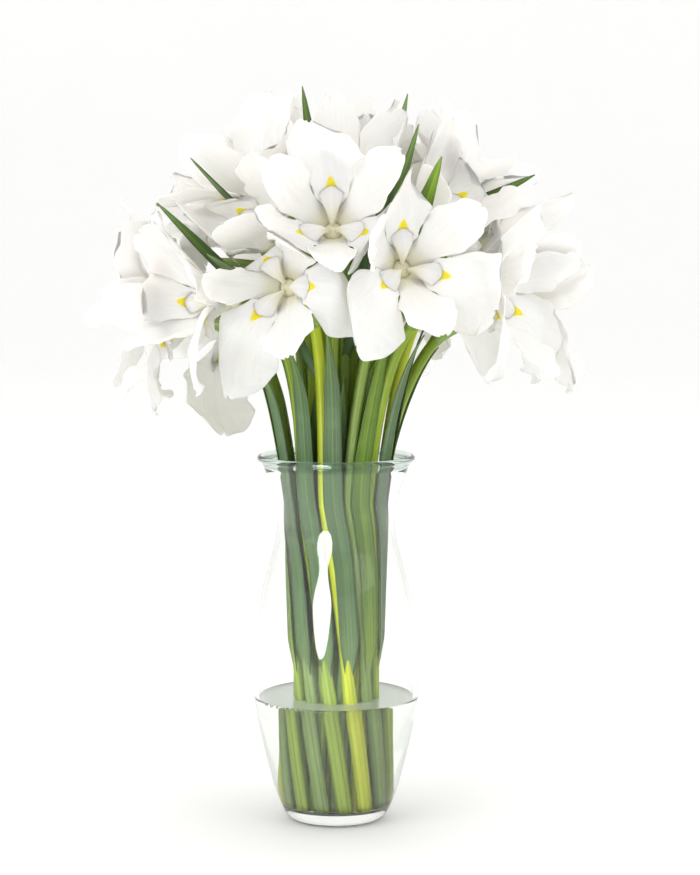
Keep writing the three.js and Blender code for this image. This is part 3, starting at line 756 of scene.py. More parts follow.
FALL = PetalForm(
    Organ.FALL, claw=22, blade=62, root=5.5, lift=0, root_half=3, claw_half=10.5, blade_half=30, rise=40,
    curl=85, arch=0.22, rises=(0, 12, -12), curls=(0, 30, -25), sways=(0, 22, -22), rows=40, columns=29,
    ruffle=2.1, notch=3.0,
)
STANDARD = PetalForm(
    Organ.STANDARD, claw=16, blade=50, root=5.5, lift=1.5, root_half=2.6, claw_half=8.5, blade_half=17,
    rise=50, curl=4, arch=-0.2, rises=(0, -14), curls=(0, 30, -20), sways=(0, 20, -20), rows=34, columns=21,
    ruffle=2.0, notch=2.0,
)
STYLE_ARM = PetalForm(
    Organ.STYLE, claw=6, blade=27, root=3.2, lift=5, root_half=1.3, blade_half=8, rise=56, curl=66,
    thickness=0.7,
)


def pushed_back(past: Array) -> Array:
    """How far back points go: o - w(1 - e^(-o/w)), with o their way past a limit plus the softness w."""
    over = np.maximum(past + CELL_SOFTNESS, 0.0)[..., None]
    return over - CELL_SOFTNESS * (1.0 - np.exp(-over / CELL_SOFTNESS))


@dataclass
class Iris:
    """Where one bloom and its stem stand: shared by both."""

    index: int
    ring: int
    slot: int
    base: Array
    axis: Array
    down: Array
    right: Array
    centre: Array
    lean: Array
    turn: float
    walls: list[tuple[Array, Array, float]] = field(default_factory=list)

    @property
    def number(self) -> str:
        """Two digits, counted from one."""
        return f"{self.index + 1:02d}"

    def radial(self, heading: float | Array) -> Array:
        """Directions square to the axis: down cos h + right sin h, with a row for each heading."""
        angle = np.radians(np.asarray(heading, dtype=float))[..., None]
        return self.down * np.cos(angle) + self.right * np.sin(angle)

    def wall(self, other: "Iris") -> tuple[Array, Array]:
        """The wall between two cells: midway between their centres, square to their leaned line."""
        out = unit(other.centre + other.lean - self.centre - self.lean)
        return (self.centre + other.centre) / 2, out

    def held(self, points: Array) -> Array:
        """Moves points softly inside the bloom's cell and off the ball of stems, but not close to the base.

        Args:
            points: any shape by 3.

        Returns:
            The moved points.
        """
        p = points.copy()
        for _ in range(CELL_PASSES):
            for point, out, room in self.walls:
                p = p - out * pushed_back((p - point) @ out + CELL_MARGIN + room)
            away = p - HEAD_CENTRE
            p = p + unit(away) * pushed_back(PETAL_FREE_RADIUS - np.linalg.norm(away, axis=-1))
        free = np.linalg.norm(points - self.base, axis=-1) - BASE_FREE_RADIUS
        leave = smooth(free / BASE_FADE)[..., None]
        return points + (p - points) * leave


def leaf_between(one: Iris, other: Iris) -> bool:
    """Whether a leaf's tip rises in the wall between two cells."""
    pair = {one.index + 1, other.index + 1}
    return any({row[0], row[2]} == pair for row in LEAF_TIPS)


def plan_irises() -> list[Iris]:
    """Works out every bloom's place, directions and cell, with room in a wall where a leaf rises.

    Returns:
        The irises, in the table's order.
    """
    irises: list[Iris] = []
    for index, row in enumerate(BLOOMS):
        ring, azimuth, elevation, distance, face_azimuth, face_elevation, turn, level = row
        axis = direction(face_azimuth, face_elevation)
        base = HEAD_CENTRE + distance * direction(azimuth, elevation)
        down = direction(face_azimuth, face_elevation - 90)
        centre = base + CELL_LIFT * axis
        lean = unit(centre - HEAD_CENTRE) * LEVEL_TILT * level
        slot = sum(1 for other in irises if other.ring == ring)
        irises.append(Iris(index, ring, slot, base, axis, down, np.cross(axis, down), centre, lean, turn))
    for iris in irises:
        for other in irises:
            if other is not iris and np.linalg.norm(other.centre - iris.centre) < NEIGHBOUR_REACH:
                iris.walls.append((*iris.wall(other), LEAF_ROOM if leaf_between(iris, other) else 0.0))
    return irises


@dataclass
class Spine:
    """A petal's middle line and its directions at shares of its length."""

    t: Array
    place: Array
    along: Array
    across: Array
    up: Array

    def at(self, t: Array) -> "Spine":
        """The same line read between its own points.

        Args:
            t: other shares of the length.

        Returns:
            The line there.
        """
        lines = (self.place, self.along, self.across, self.up)
        read = [np.stack([np.interp(t, self.t, line[:, k]) for k in range(3)], axis=-1) for line in lines]
        return Spine(t, read[0], *[unit(ways) for ways in read[1:]])


@dataclass
class Petal:
    """One petal or style arm of a bloom, heading in degrees from straight down about the bloom's axis."""

    iris: Iris
    form: PetalForm
    heading: float
    chance: np.random.Generator
    steps: int = 100
    trial_steps: int = 25
    trial_shares: tuple[float, ...] = (0.2, 0.36, 0.52, 0.68, 0.84, 1.0)
    trial_sides: tuple[float, ...] = (-0.7, 0.0, 0.7)
    trial_roundness: float = 0.53
    trial_margin: float = 2.0
    costs: Lie = (8.0, 4.0, 5.0)
    roundness: float = 0.508
    roll_limit: float = 24.0

    def spine(self, lie: Lie, steps: int) -> Spine:
        """The middle line: a straight claw, then a blade that bends over.

        With b the share of the blade, the rise is rise - curl(1 - (1 - b)²) and the heading turns by sway·b.

        Args:
            lie: rise, curl and sway.
            steps: number of steps from root to tip.

        Returns:
            The line, a running sum of its steps.
        """
        iris, form, (rise, curl, sway) = self.iris, self.form, lie
        t = np.arange(steps + 1) / steps
        share = form.claw / form.length
        bend = np.maximum(0.0, (t - share) / (1.0 - share))
        angle = np.radians(rise - curl * (1.0 - (1.0 - bend) ** 2))[:, None]
        along = iris.radial(self.heading + sway * bend) * np.cos(angle) + iris.axis * np.sin(angle)
        across = iris.radial(self.heading + sway * bend + 90.0)
        root = iris.base + iris.radial(self.heading) * form.root + iris.axis * form.lift
        steps_out = np.cumsum(along, axis=0) - along
        return Spine(t, root + steps_out * form.length / steps, along, across, np.cross(along, across))

    def crowding(self, lie: Lie) -> float:
        """How far a few points overrun walls and the ball of stems, squared and summed.

        Args:
            lie: rise, curl and sway.

        Returns:
            Square millimetres.
        """
        spine = self.spine(lie, self.trial_steps)
        shares = np.floor(np.array(self.trial_shares) * self.trial_steps + 0.5).astype(int)
        side = np.array(self.trial_sides) * self.form.half(spine.t[shares], self.trial_roundness)[:, None]
        p = swept(spine.place[shares], (spine.across[shares], side))
        overruns = [(p - point) @ out + self.trial_margin for point, out, _ in self.iris.walls]
        overruns.append(PETAL_FREE_RADIUS - np.linalg.norm(p - HEAD_CENTRE, axis=-1))
        return sum(float(np.sum(np.maximum(0.0, overrun) ** 2)) for overrun in overruns)

    def best_lie(self) -> Lie:
        """The lie, from a few, that crowds the neighbours least, each degree of change having its cost.

        Returns:
            Rise, curl and sway.
        """
        form = self.form
        best, least = (form.rise, form.curl, 0.0), math.inf
        of_rise, of_curl, of_sway = self.costs
        for rise, curl, sway in product(form.rises, form.curls, form.sways):
            lie = (form.rise + rise, form.curl + curl, sway)
            cost = of_rise * abs(rise) + of_curl * abs(curl) + of_sway * abs(sway) + self.crowding(lie)
            if cost < least - 1e-6:
                best, least = lie, cost
        return best

    def sheet(self, grid: Array, across: Array, t: Array, thickness: Array | float) -> Patch:
        """The closed sheet over a grid once it is held in the bloom's cell.

        Args:
            grid: rows by columns by 3.
            across: how far each point lies from the middle line.
            t: the rows' shares of the length.
            thickness: one value, or one for each point.

        Returns:
            The sheet.
        """
        uv = paired(0.5 + across / ACROSS_SPAN, t * self.form.length / ALONG_SPAN)
        return shell(self.iris.held(grid), thickness, uv, self.form.organ.value)

    def blade(self) -> Patch:
        """A fall or standard as a thin ruffled sheet.

        With s from -1 to 1 across and b the share of the blade, a point lies s·half beside the middle line.
        It is raised by ruffles A|s|^2.5 sin(2π n b + φ), folds A sin(7s + 2.5b + φ)(1 - s²/2) and a low
        wave, lowered by sag·s² and a groove e^(-(s/0.09)²), rolled about the line by a chance angle, and
        drawn back by the tip's notch.

        Returns:
            The petal.
        """
        form, chance = self.form, self.chance
        t = 1.0 - (1.0 - np.linspace(0.0, 1.0, form.rows)) ** 1.35
        line = self.spine(self.best_lie(), self.steps).at(t)
        s = np.linspace(-1.0, 1.0, form.columns)[None]
        t = t[:, None]
        share = form.claw / form.length
        b = np.clip((t - share) / (1.0 - share), 0.0, 1.0)
        opening = smooth((b - 0.05) / 0.45)
        narrowed = (1.0 - chance.uniform(0.88, 1.05)) * smooth(b / 0.3)
        half = form.half(t, self.roundness) * (1.0 - narrowed)
        phase = chance.uniform(0.0, 2.0 * math.pi, 6)
        roll = math.radians(chance.uniform(-self.roll_limit, self.roll_limit)) * smooth(b)
        swell = 1.0 + 0.06 * b * np.sin(7.0 * b + np.where(s < 0.0, phase[0], phase[1]))
        sag = form.arch * half * smooth(2.0 * t - 0.4) - 0.3 * half * (1.0 - smooth(2.4 * t))
        edge = np.sin(2.0 * math.pi * 2.6 * b + np.where(s < 0.0, phase[2], phase[3]))
        edge = edge + 0.25 * np.sin(2.0 * math.pi * 6.3 * b + 2.0 * s + phase[4])
        folds = 0.45 * np.sin(7.0 * s + 2.5 * b + phase[0]) * (1.0 - 0.5 * s**2)
        wave = 0.5 * np.sin(3.0 * s + 5.0 * b + phase[5])
        groove = 0.9 * np.exp(-((s / 0.09) ** 2)) * smooth(b / 0.3) * (1.0 - 0.6 * b)
        raised = opening * (form.ruffle * (np.abs(s) ** 2.5 * edge + folds) + wave) - sag * s**2 - groove
        beside = s * half * swell
        sideways = beside * np.cos(roll) - raised * np.sin(roll)
        upwards = raised * np.cos(roll) + beside * np.sin(roll)
        back = form.notch * np.exp(-((s / 0.3) ** 2)) * smooth((b - 0.82) / 0.18)
        grid = swept(line.place, (line.across, sideways), (line.up, upwards), (line.along, -back))
        thickness = form.thickness * (1.0 + 0.9 * (1.0 - opening)) * (1.0 - 0.35 * np.abs(s) ** 3)
        return self.sheet(grid, s * half, t, thickness)

    def style_arm(self) -> Patch:
        """A style arm: a strap of section up·ridge(1 - |s|^1.4) over a fall's claw, ending in two crests.

        Returns:
            The style arm.
        """
        form = self.form
        t = np.linspace(0.0, 1.0, form.rows)
        line = self.spine((form.rise, form.curl, 0.0), self.steps).at(t)
        s = np.linspace(-1.0, 1.0, form.columns)[None]
        t = t[:, None]
        half = form.root_half + (form.blade_half - form.root_half) * smooth(1.4 * t)
        ridge = 3.2 * (0.5 + 0.5 * smooth(2.0 * t))
        crest = smooth((t - 0.78) / 0.22)
        waves = 0.5 * np.sin(9.0 * s + self.chance.uniform(0.0, 2.0 * math.pi))
        lift = ridge * (1.0 - np.abs(s) ** 1.4) + crest * (5.5 * np.abs(s) - 2.5 + waves)
        stretch = crest * (7.0 * np.sin(math.pi * np.abs(s)) - 3.0)
        beside = s * half * (1.0 - 0.25 * crest * np.abs(s))
        grid = swept(line.place, (line.across, beside), (line.up, lift), (line.along, stretch))
        return self.sheet(grid, s * half, t, form.thickness)


@dataclass
class Bloom:
    """One bloom: falls, standards and style arms, three of each, and their tube, each in its finish."""

    iris: Iris
    finishes: list[Material]

    def tube_piece(self) -> Patch:
        """The tube under the petals: a turned form about the bloom's axis, closed in a low dome.

        Returns:
            The tube, in the standards' finish.
        """
        outline = ((-8.1, 2.8), (-6, 3.2), (-3, 4.6), (-0.5, 5.5), (1.5, 5.5), (3.4, 4.2), (4.4, 1.6))
        height, radius = np.array(outline).T[:, :, None, None]
        around = self.iris.radial(np.arange(0.0, 360.0, 22.5))
        rings = self.iris.base + around * radius + self.iris.axis * height
        return tube(rings, np.full(len(outline), 0.02), Organ.STANDARD.value)

    def make(self) -> Piece:
        """Builds the bloom and lets it stand for its solid.

        Returns:
            The bloom.
        """
        chance = np.random.default_rng(BLOOM_SEED + self.iris.index)
        patches = [self.tube_piece()]
        for heading in self.iris.turn + np.array([0.0, 120.0, 240.0]):
            patches.append(Petal(self.iris, FALL, heading, chance).blade())
            patches.append(Petal(self.iris, STANDARD, heading + 60.0, chance).blade())
            patches.append(Petal(self.iris, STYLE_ARM, heading, chance).style_arm())
        piece = make_piece(f"iris_bloom_{self.iris.number}", patches, self.finishes)
        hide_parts(f"bloom_{self.iris.number}")
        return piece


@dataclass(frozen=True)
class Ring:
    """One ring of stems in the vase, and the strap leaves beside its stems."""

    radius: float
    first: float
    twist: float
    leaf_out: float
    leaf_side: float
    leaf_half: float
    leaf_top: float


RINGS = (
    Ring(27.6, -15, 60, 4.2, 7, 6, 1.7),
    Ring(18.4, -10, -30, 4.1, 6, 4.2, 1.42),
    Ring(9.3, -60, 25, 4.1, 5, 3.4, 1.38),
    Ring(0, 0, 0, 4.1, 0, 2.6, 1.34),
)
MIDDLE_RING = len(RINGS) - 1
RING_COUNTS = tuple(sum(1 for row in BLOOMS if row[0] == ring) for ring in range(len(RINGS)))


@dataclass
class LeafyStem:
    """One cut stem with its sheath, its spathe, its strap leaf and any leaf whose tip shows above."""

    iris: Iris
    irises: list[Iris]
    finishes: list[Material]
    foot: float = 9.6
    top_of_ring: float = 205.0
    foot_scale: float = 0.87
    neck: float = 190.0
    strap_bend: float = 1.15
    valve_span: tuple[float, float] = (1.7, 1.995)
    valve_half_angle: float = 80.0
    sides: int = 16
    leaf_columns: int = 9
    strap_rows: int = 44
    tip_rows: int = 36
    valve_rows: int = 24
    valve_columns: int = 11
    strap_thickness: float = 0.6
    tip_thickness: float = 0.5
    valve_thickness: float = 0.4
    tip_twist: float = 38.0

    def share_at(self, height: float) -> float:
        """The share of the way at a height in the vase."""
        return (height - self.foot) / (self.top_of_ring - self.foot)

    def in_ring(self, height: Array) -> Array:
        """Points of the stem in its ring, which twists slowly and narrows towards the foot.

        Args:
            height: heights in the vase.

        Returns:
            A point for each.
        """
        ring = RINGS[self.iris.ring]
        slot = ring.first + 360.0 / RING_COUNTS[self.iris.ring] * self.iris.slot
        twist = ring.twist * (self.top_of_ring - height) / self.top_of_ring
        rise = np.clip((height - WATER_LEVEL) / (self.neck - WATER_LEVEL), 0.0, 1.0)
        scale = self.foot_scale + (1.0 - self.foot_scale) * rise
        points = direction(slot + twist, 0.0) * (ring.radius * scale)[..., None]
        points[..., 2] = height
        return points

    def middle(self, share: Array) -> Array:
        """The stem's middle line, in its ring up to share 1 and then on a Hermite curve to the bloom.

        Args:
            share: 0 at the cut foot, 1 above the neck, 2 at the bloom.

        Returns:
            A point for each share.
        """
        low = self.in_ring(self.foot + (self.top_of_ring - self.foot) * np.minimum(share, 1.0))
        start = self.in_ring(np.array([self.top_of_ring]))[0]
        end = self.iris.base - self.iris.axis * (TUBE_LENGTH + STEM_GAP)
        reach = np.linalg.norm(end - start)
        lean = unit(np.array([start[0] * 0.006, start[1] * 0.006, 1.0]))
        t = np.maximum(share - 1.0, 0.0)[..., None]
        high = start * (2 * t**3 - 3 * t**2 + 1) + lean * reach * (t**3 - 2 * t**2 + t)
        high = high + end * (3 * t**2 - 2 * t**3) + self.iris.axis * reach * (t**3 - t**2)
        return np.where(share[..., None] <= 1.0, low, high)

    def frames(self, share: Array) -> tuple[Array, Array, Array, Array]:
        """The stem's own directions.

        Args:
            share: shares of the way.

        Returns:
            Place, direction, sideways and outward directions at each.
        """
        place = self.middle(share)
        along = unit(self.middle(np.minimum(share + 0.01, 2.0)) - self.middle(np.maximum(share - 0.01, 0.0)))
        bearing = np.degrees(np.arctan2(place[..., 0], -place[..., 1]))
        if self.iris.ring == MIDDLE_RING:
            bearing = np.zeros_like(bearing)
        level = direction(bearing + 90.0, 0.0)
        side = unit(level - along * np.sum(level * along, axis=-1, keepdims=True))
        return place, along, side, -np.cross(along, side)

    def stem(self) -> Patch:
        """The stem itself, an oval tube whose half widths run between those of the solid's rings.

        Returns:
            The tube.
        """
        marks = [self.share_at(height) for height in (self.foot, WATER_LEVEL, 100.0)]
        marks += [1.1, 1.68, 1.84, 1.95, 2.0]
        out_halves = [3.4, 3.4, 3.4, 3.4, 3.4, 5.2, 4.9, 4.0]
        side_halves = [4.6, 4.6, 3.6, 3.4, 3.4, 5.2, 4.9, 4.0]
        share = np.unique(np.concatenate([np.linspace(0.0, 1.0, 26), np.linspace(1.0, 2.0, 34), marks]))
        place, _, side, out = self.frames(share)
        around = -2.0 * math.pi * np.arange(self.sides) / self.sides
        outwards = np.interp(share, marks, out_halves)[:, None] * np.sin(around)
        sideways = np.interp(share, marks, side_halves)[:, None] * np.cos(around)
        return tube(swept(place, (out, outwards), (side, sideways)), share / 2.0, Green.STEM.value)

    def strap_leaf(self) -> Patch:
        """The folded strap leaf beside the stem, smooth between the six sections of the solid's leaf.

        Each has its share of the way, distance out, swing about the vase's axis and half width.

        Returns:
            The leaf.
        """
        ring = RINGS[self.iris.ring]
        bend = self.strap_bend + (ring.leaf_top - self.strap_bend) * 0.55
        shares = [self.share_at(height) for height in (92, 116, 165)]
        shares += [self.strap_bend, bend, ring.leaf_top]
        share = np.linspace(shares[0], shares[-1], self.strap_rows)
        out_by = np.interp(share, shares, [1.5, *[ring.leaf_out] * 3, ring.leaf_out + 1.5, ring.leaf_out + 3])
        side_by = np.interp(share, shares, [0, 0.4, 1, 1, 1.2, 1.3])
        half = np.interp(share, shares, [1.8, *[ring.leaf_half] * 3, ring.leaf_half * 0.8, 0.3])[:, None]
        place, _, side, out = self.frames(share)
        about = (np.hypot(place[:, 0], place[:, 1]) + out_by)[:, None]
        swing = (side_by * ring.leaf_side)[:, None] / about
        turned_out = out * np.cos(swing) + side * np.sin(swing)
        turned_side = side * np.cos(swing) - out * np.sin(swing)
        middle = place + out * (out_by[:, None] - about) + turned_out * about
        s = np.linspace(-1.0, 1.0, self.leaf_columns)[None]
        grid = swept(middle, (turned_side, s * half), (turned_out, 0.16 * half * (np.abs(s) - 0.5)))
        uv = paired((s + 1.0) / 2.0, np.linspace(0.0, 1.0, self.strap_rows)[:, None])
        return shell(grid, self.strap_thickness, uv, Green.LEAF.value)

    def tip_leaf(self, row: tuple[float, ...]) -> Patch:
        """A leaf that rises in the gap between two blooms.

        A cubic Bezier from the stem is drawn onto the cells' wall by smooth((t - 0.05)/0.37), and the sheet
        turns into that wall and twists out of it towards its tip.

        Args:
            row: the leaf's row of the table.

        Returns:
            The leaf.
        """
        _, start_share, beside, azimuth, elevation, distance, half = row
        point, normal = self.iris.wall(self.irises[int(beside) - 1])

        def on_wall(p: Array) -> Array:
            """Points moved squarely onto the wall."""
            return p + normal * ((point - p) @ normal)[..., None]

        place, along, _, out = self.frames(np.array([start_share]))
        root = place[0]
        tip = on_wall(HEAD_CENTRE + distance * direction(azimuth, elevation))
        first = root + along[0] * 0.08 * np.linalg.norm(tip - root)
        second = on_wall(tip + (root - tip) * 0.6)
        t = np.linspace(0.0, 1.0, self.tip_rows)[:, None]
        curve = root * (1 - t) ** 3 + first * 3 * t * (1 - t) ** 2 + second * 3 * t**2 * (1 - t) + tip * t**3
        slope = (first - root) * (1 - t) ** 2 + (second - first) * 2 * t * (1 - t) + (tip - second) * t**2
        hold = smooth((t - 0.05) / 0.37)
        middle = curve + (on_wall(curve) - curve) * hold
        facing = -out[0] if -out[0] @ normal >= 0.0 else out[0]
        facing = unit(facing + (normal - facing) * hold)
        twist = math.radians(self.tip_twist) * smooth(t / 0.8)
        across = unit(np.cross(unit(slope), facing)) * np.cos(twist) + facing * np.sin(twist)
        marks, shares = [0, 0.22, 0.45, 0.65, 0.85, 0.97, 1], [0.3, 0.6, 1, 1.05, 0.8, 0.28, 0.04]
        widths = np.interp(t, marks, shares) * half
        s = np.linspace(-1.0, 1.0, self.leaf_columns)[None]
        uv = paired((s + 1.0) / 2.0, 0.4 + 0.6 * t)
        return shell(swept(middle, (across, s * widths)), self.tip_thickness, uv, Green.LEAF.value)

    def spathe_valve(self, heading: float) -> Patch:
        """One of the two pointed valves around the top of the stem, of half angle 80°·√(1 - t^2.4).

        Args:
            heading: degrees about the stem.

        Returns:
            The valve.
        """
        t = np.linspace(0.0, 1.0, self.valve_rows)[:, None]
        s = np.linspace(-1.0, 1.0, self.valve_columns)[None]
        place, _, side, out = self.frames(np.linspace(*self.valve_span, self.valve_rows))
        radius = 3.6 + 2.3 * smooth(2.2 * t)
        spread = math.radians(self.valve_half_angle) * np.sqrt(np.maximum(0.0, 1.0 - t**2.4)) + 0.02
        angle = math.radians(heading) + s * spread
        reach = radius * (1.0 + 0.04 * np.cos(6.0 * s))
        grid = swept(place, (out, reach * np.sin(angle)), (side, reach * np.cos(angle)))
        return shell(grid, self.valve_thickness, paired((s + 1.0) / 2.0, t), Green.SPATHE.value)

    def make(self) -> Piece:
        """Builds the leafy stem and lets it stand for its solid.

        Returns:
            The leafy stem.
        """
        patches = [self.stem(), self.strap_leaf(), self.spathe_valve(0.0), self.spathe_valve(180.0)]
        patches += [self.tip_leaf(row) for row in LEAF_TIPS if row[0] == self.iris.index + 1]
        piece = make_piece(f"leafy_stem_{self.iris.number}", patches, self.finishes)
        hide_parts(f"stem_{self.iris.number}")
        return piece


@dataclass
class GlassVase:
    """The vase: a waisted outer curve, a rolled bead rim, a thick foot, and the water in it."""

    glass: Material
    water: Material
    # the finish of the painted sheen on the water
    sheen_film: Material
    outline: tuple[tuple[float, float], ...] = (
        (28, 0), (33.5, 6), (41, 26), (50.2, 65), (52.4, 93), (47.8, 142), (38.2, 181), (38.6, 203),
        (46.6, 228),
    )
    underside: tuple[tuple[float, float], ...] = (
        (0, 1.2), (12, 1.2), (20, 1.0), (23.5, 0.2), (24.5, 0.0), (26.6, 0.0), (27.7, 0.5),
    )
    wall: float = 3.0
    floor: float = 9.0
    corner: float = 9.0
    inner_top: float = 225.5
    bead: float = 2.0
    sides: int = 144
    overlap: float = 0.3
    meniscus: float = 1.3
    meniscus_reach: float = 1.6
    # the pale sheet of painted sheen on the water: where it starts inside, and its thickness
    sheen_film_inside: float = 22.0
    sheen_film_thickness: float = 0.1
    bubbles: int = 34
    bubble_radii: tuple[float, float] = (0.5, 1.1)

    def outer(self, count: int) -> tuple[Array, Array]:
        """The outer curve: a uniform Catmull-Rom curve through the outline.

        Args:
            count: number of points.

        Returns:
            Points of radius and height, and unit tangents.
        """
        marks = np.array(self.outline, dtype=float)
        last = len(marks) - 1
        place = np.linspace(0.0, last, count)
        i = np.minimum(place.astype(int), last - 1)
        t = (place - i)[:, None]
        p0, p1 = marks[np.maximum(i - 1, 0)], marks[i]
        p2, p3 = marks[i + 1], marks[np.minimum(i + 2, last)]
        v0, v1 = (p2 - p0) / 2, (p3 - p1) / 2
        points = (2 * p1 - 2 * p2 + v0 + v1) * t**3 + (3 * p2 - 3 * p1 - 2 * v0 - v1) * t**2 + v0 * t + p1
        return points, unit(np.gradient(points, axis=0))

    def inner_radius(self, height: Array | float) -> Array:
        """The inner surface's radius at heights, one wall in from the outer curve."""
        points, slopes = self.outer(800)
        return np.interp(height, points[:, 1], points[:, 0] - self.wall / np.maximum(slopes[:, 1], 0.2))

    def floor_curve(self, lift: float, grow: float) -> Array:
        """The vase's inside corner from the axis outwards, a quarter ellipse between floor and wall.

        Args:
            lift: height added to the floor.
            grow: radius added to the wall.

        Returns:
            Points of radius and height.
        """
        top = self.floor + self.corner
        edge = self.inner_radius(top) + grow
        angle = np.linspace(0.0, math.pi / 2, 14)
        radius = edge - self.corner + self.corner * np.sin(angle)
        curve = paired(radius, top - (self.corner - lift) * np.cos(angle))
        return np.concatenate([[[0.0, self.floor + lift], [edge * 0.4, self.floor + lift]], curve])

    def make_glass(self) -> Piece:
        """Builds the glass and lets it stand for its solid.

        Returns:
            The vase.
        """
        points, _ = self.outer(90)
        under = np.array(self.underside)
        body = points[points[:, 1] > under[0, 1]]
        rim = points[-1] + np.array([0.6, 1.6]) * self.bead
        angle = np.radians(np.linspace(-75.0, 200.0, 22))
        bead = rim + self.bead * paired(np.cos(angle), np.sin(angle))
        heights = np.linspace(self.inner_top, self.floor + self.corner + 1.0, 70)
        inner = paired(self.inner_radius(heights), heights)
        profile = np.concatenate([under, body[:-1], bead, inner, self.floor_curve(0.0, 0.0)[::-1]])
        piece = make_piece("glass_vase", [turned_skin(profile, self.sides)], [self.glass])
        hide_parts("vase")
        return piece

    def make_water(self) -> Piece:
        """Builds the water, a hair into the glass, raised by 1.3 e^(-d/1.6) at a distance d from the wall.

        Returns:
            The water.
        """
        distance = np.array([0.0, 0.3, 0.8, 1.5, 2.5, 4.0, 7.0, 14.0])
        level = WATER_LEVEL + self.meniscus * np.exp(-distance / self.meniscus_reach)
        top = paired(self.inner_radius(WATER_LEVEL) - distance, level)
        heights = np.linspace(self.floor + self.corner + 1.0, WATER_LEVEL + self.meniscus, 40)
        side = paired(self.inner_radius(heights) + self.overlap, heights)
        bottom = self.floor_curve(-self.overlap, self.overlap)
        profile = np.concatenate([bottom, side, top, [[20.0, WATER_LEVEL], [0.0, WATER_LEVEL]]])
        piece = make_piece("vase_water", [turned_skin(profile, self.sides)], [self.water])
        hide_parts("water")
        return piece

    def make_sheen_film(self) -> Piece:
        """Builds the painted sheen on the water, a pale thin ring between stems and glass that follows the
        meniscus.

        Returns:
            The film.
        """
        edge = self.inner_radius(WATER_LEVEL) - 0.4
        radius = np.linspace(self.sheen_film_inside, edge, 16)
        height = WATER_LEVEL + 0.15 + self.meniscus * np.exp((radius - edge - 0.4) / self.meniscus_reach)
        upper = turned_rings(paired(radius, height), self.sides)
        rings = np.concatenate([upper - [0.0, 0.0, self.sheen_film_thickness], upper[::-1]])
        patch = tube(rings, np.linspace(0.0, 1.0, len(rings)))
        *patch.faces, first, last = patch.faces
        first = first[::-1]
        patch.faces += [list(face) for face in zip(last, last[1:] + last[:1], first[1:] + first[:1], first)]
        piece = make_piece("water_sheen_film", [patch], [self.sheen_film])
        return piece

    def make_bubbles(self) -> Piece:
        """Builds small bubbles against the glass at the water's level.

        Returns:
            The bubbles.
        """
        chance = np.random.default_rng(BUBBLE_SEED)
        angle = np.linspace(0.15, 0.85, 5) * math.pi
        patches = []
        for azimuth in chance.uniform(0.0, 360.0, self.bubbles):
            radius = chance.uniform(*self.bubble_radii)
            middle = direction(azimuth, 0.0) * (self.inner_radius(WATER_LEVEL) - 1.2 * radius)
            middle[2] = WATER_LEVEL + 0.2 * radius
            rings = turned_rings(radius * paired(np.sin(angle), -np.cos(angle)), 10)
            patches.append(tube(rings + middle, angle))
        piece = make_piece("waterline_bubbles", patches, [self.water])
        return piece


class LightUse(Enum):
    """What a light does: all, only shine back from surfaces, or only light them."""

    BOTH = 0
    SHINE = 1
    LIFT = 2


@dataclass(frozen=True)
class SoftLight:
    """A soft area light aimed at the middle of the bouquet, in metres and watts."""

    name: str
    place: tuple[float, float, float]
    size: tuple[float, float]
    power: float
    use: LightUse = LightUse.BOTH
    aim_height: float = 0.25

    def make(self) -> None:
        """Adds the light, turned level and then down by the angle from its place to the aim."""
        data = bpy.data.lights.new(self.name, "AREA")
        data.shape = "ELLIPSE" if self.use is LightUse.SHINE else "RECTANGLE"
        data.size, data.size_y = self.size
        data.energy = self.power
        light = add_object(self.name, data)
        light.location = self.place
        light.visible_diffuse = self.use is not LightUse.SHINE
        light.visible_glossy = self.use is not LightUse.LIFT
        light.visible_transmission = self.use is not LightUse.LIFT
        x, y, z = self.place
        drop = math.atan2(z - self.aim_height, math.hypot(x, y))
        light.rotation_euler = (math.pi / 2 - drop, 0.0, math.atan2(x, -y))


LIGHTS = (
    SoftLight("key", (-1.3, -1.5, 1.9), (1.4, 1.4), 10.0),
    SoftLight("fill", (1.5, -1.2, 1.4), (1.4, 1.4), 6.0),
    SoftLight("shine", (-0.74, -1.9, 0.54), (1.05, 1.0), 40.0, LightUse.SHINE),
    SoftLight("top", (0.2, 0.1, 2.2), (1.6, 1.6), 6.0),
    SoftLight("lift_left", (-1.5, -0.9, 0.1), (1.0, 0.6), 5.0, LightUse.LIFT),
    SoftLight("lift_right", (1.5, -0.9, 0.1), (1.0, 0.6), 2.0, LightUse.LIFT),
)


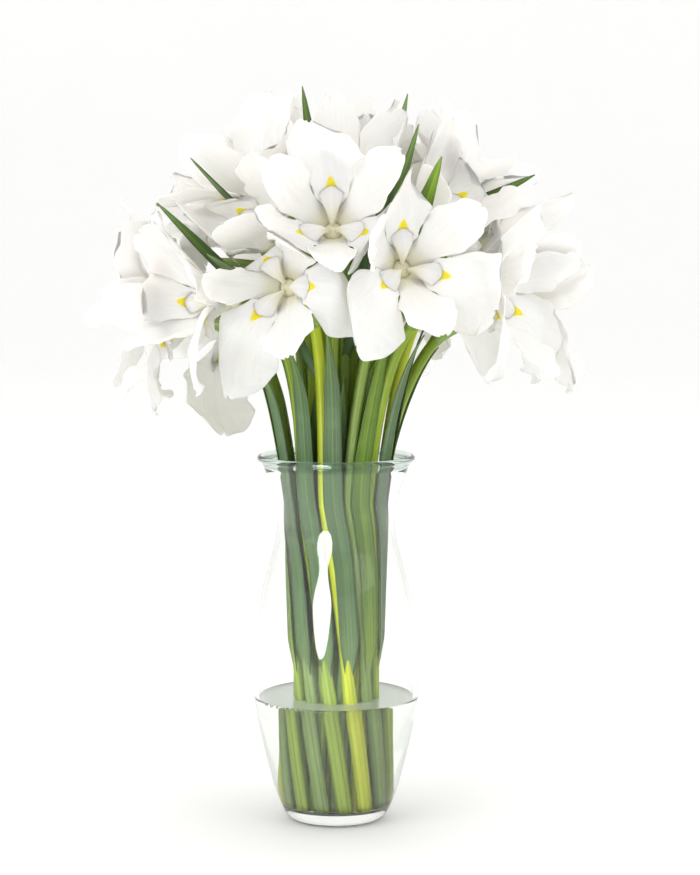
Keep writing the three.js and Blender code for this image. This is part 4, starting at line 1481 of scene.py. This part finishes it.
@dataclass
class Studio:
    """The camera at the photograph's angle, soft light all round, and a pale floor that sweeps up."""

    camera_place: tuple[float, float, float] = (0.0088, -1.6, 0.412)
    camera_drop: float = 6.0
    lens: float = 105.04
    surround: Colour = (1.0, 0.995, 0.985)
    front: float = -0.75
    back: float = 0.1
    front_strength: float = 0.72
    back_strength: float = 1.02
    floor_level: float = -0.05
    floor_flat: float = 3600.0
    floor_bend: float = 800.0
    floor_top: float = 1400.0
    floor_sides: int = 96
    floor_glow: float = 0.098

    def make_camera(self) -> None:
        """Sets the camera level to the right and looking a little down along +Y."""
        data = bpy.data.cameras.new("camera")
        data.lens = self.lens
        data.sensor_width = 36.0
        camera = add_object("camera", data)
        camera.location = self.camera_place
        camera.rotation_euler = (math.radians(90.0 - self.camera_drop), 0.0, 0.0)
        bpy.context.scene.camera = camera

    def make_world(self) -> None:
        """A plain white surround, dimmer towards the viewer so that the glass stays clear."""
        world = bpy.data.worlds.new("surround")
        recipe = Recipe(world, "Background")
        y = recipe.node("SeparateXYZ", {0: recipe.node("TexCoord", {}).outputs["Generated"]}).outputs[1]
        ends = {"From Min": self.front, "From Max": self.back, "To Min": self.front_strength}
        strength = recipe.node("MapRange", {"Value": y, **ends, "To Max": self.back_strength}).outputs[0]
        recipe.finish(Color=self.surround, Strength=strength)
        bpy.context.scene.world = world

    def make_floor(self) -> None:
        """A pale round floor: level to 3.6 m, then a quarter circle of 0.8 m, then upright."""
        angle = np.linspace(0.0, math.pi / 2, 14)
        bend = self.floor_bend
        curve = paired(self.floor_flat + bend * np.sin(angle), bend * (1.0 - np.cos(angle)))
        edge = [[self.floor_flat + bend, self.floor_top]]
        profile = np.concatenate([[[10.0, 0.0], [600.0, 0.0], [1800.0, 0.0]], curve, edge])
        rings = turned_rings(profile + np.array([0.0, self.floor_level]), self.floor_sides)
        patch = tube(rings, np.linspace(0.0, 1.0, len(profile)))
        patch.faces = [face[::-1] for face in patch.faces[:-1]]
        recipe = Recipe(bpy.data.materials.new("pale_floor"))
        pale = recipe.blend(recipe.noise(recipe.place(), 3.0), (0.93, 0.93, 0.925), (0.95, 0.95, 0.945))
        recipe.finish(Base_Color=pale, Roughness=0.7, Emission_Color=pale, Emission_Strength=self.floor_glow)
        floor = make_object("pale_floor", [patch], [recipe.material])

    def make(self) -> None:
        """Sets the whole stage."""
        self.make_camera()
        self.make_world()
        self.make_floor()
        for light in LIGHTS:
            light.make()


def make_greens(green: Green) -> list[Material]:
    """The finishes of one tissue, one for each tone."""
    return [GreenFinish(*tone, *GRAINS[green]).make() for tone in TONES[green]]


def main() -> None:
    """Builds the stage, the vase, the water, the stems and the blooms, and reports each."""
    logging.basicConfig(level=logging.INFO, format="%(message)s")
    bpy.context.scene.view_settings.view_transform = "Standard"
    Studio().make()
    vase = GlassVase(GLASS.make(), WATER.make(), make_sheen_film_finish())
    for piece in (vase.make_glass(), vase.make_water(), vase.make_sheen_film(), vase.make_bubbles()):
        log.info("%s: %d faces", piece.name, len(piece.data.polygons))
    petals = [PetalFinish(organ).make() for organ in Organ]
    stems, leaves, (spathe,) = [make_greens(green) for green in Green]
    irises = plan_irises()
    for iris in irises:
        greens = [stems[STEM_TONES[iris.index]], leaves[LEAF_TONES[iris.index]], spathe]
        for piece in (LeafyStem(iris, irises, greens).make(), Bloom(iris, petals).make()):
            log.info("%s: %d faces", piece.name, len(piece.data.polygons))


if __name__ == "__main__":
    main()
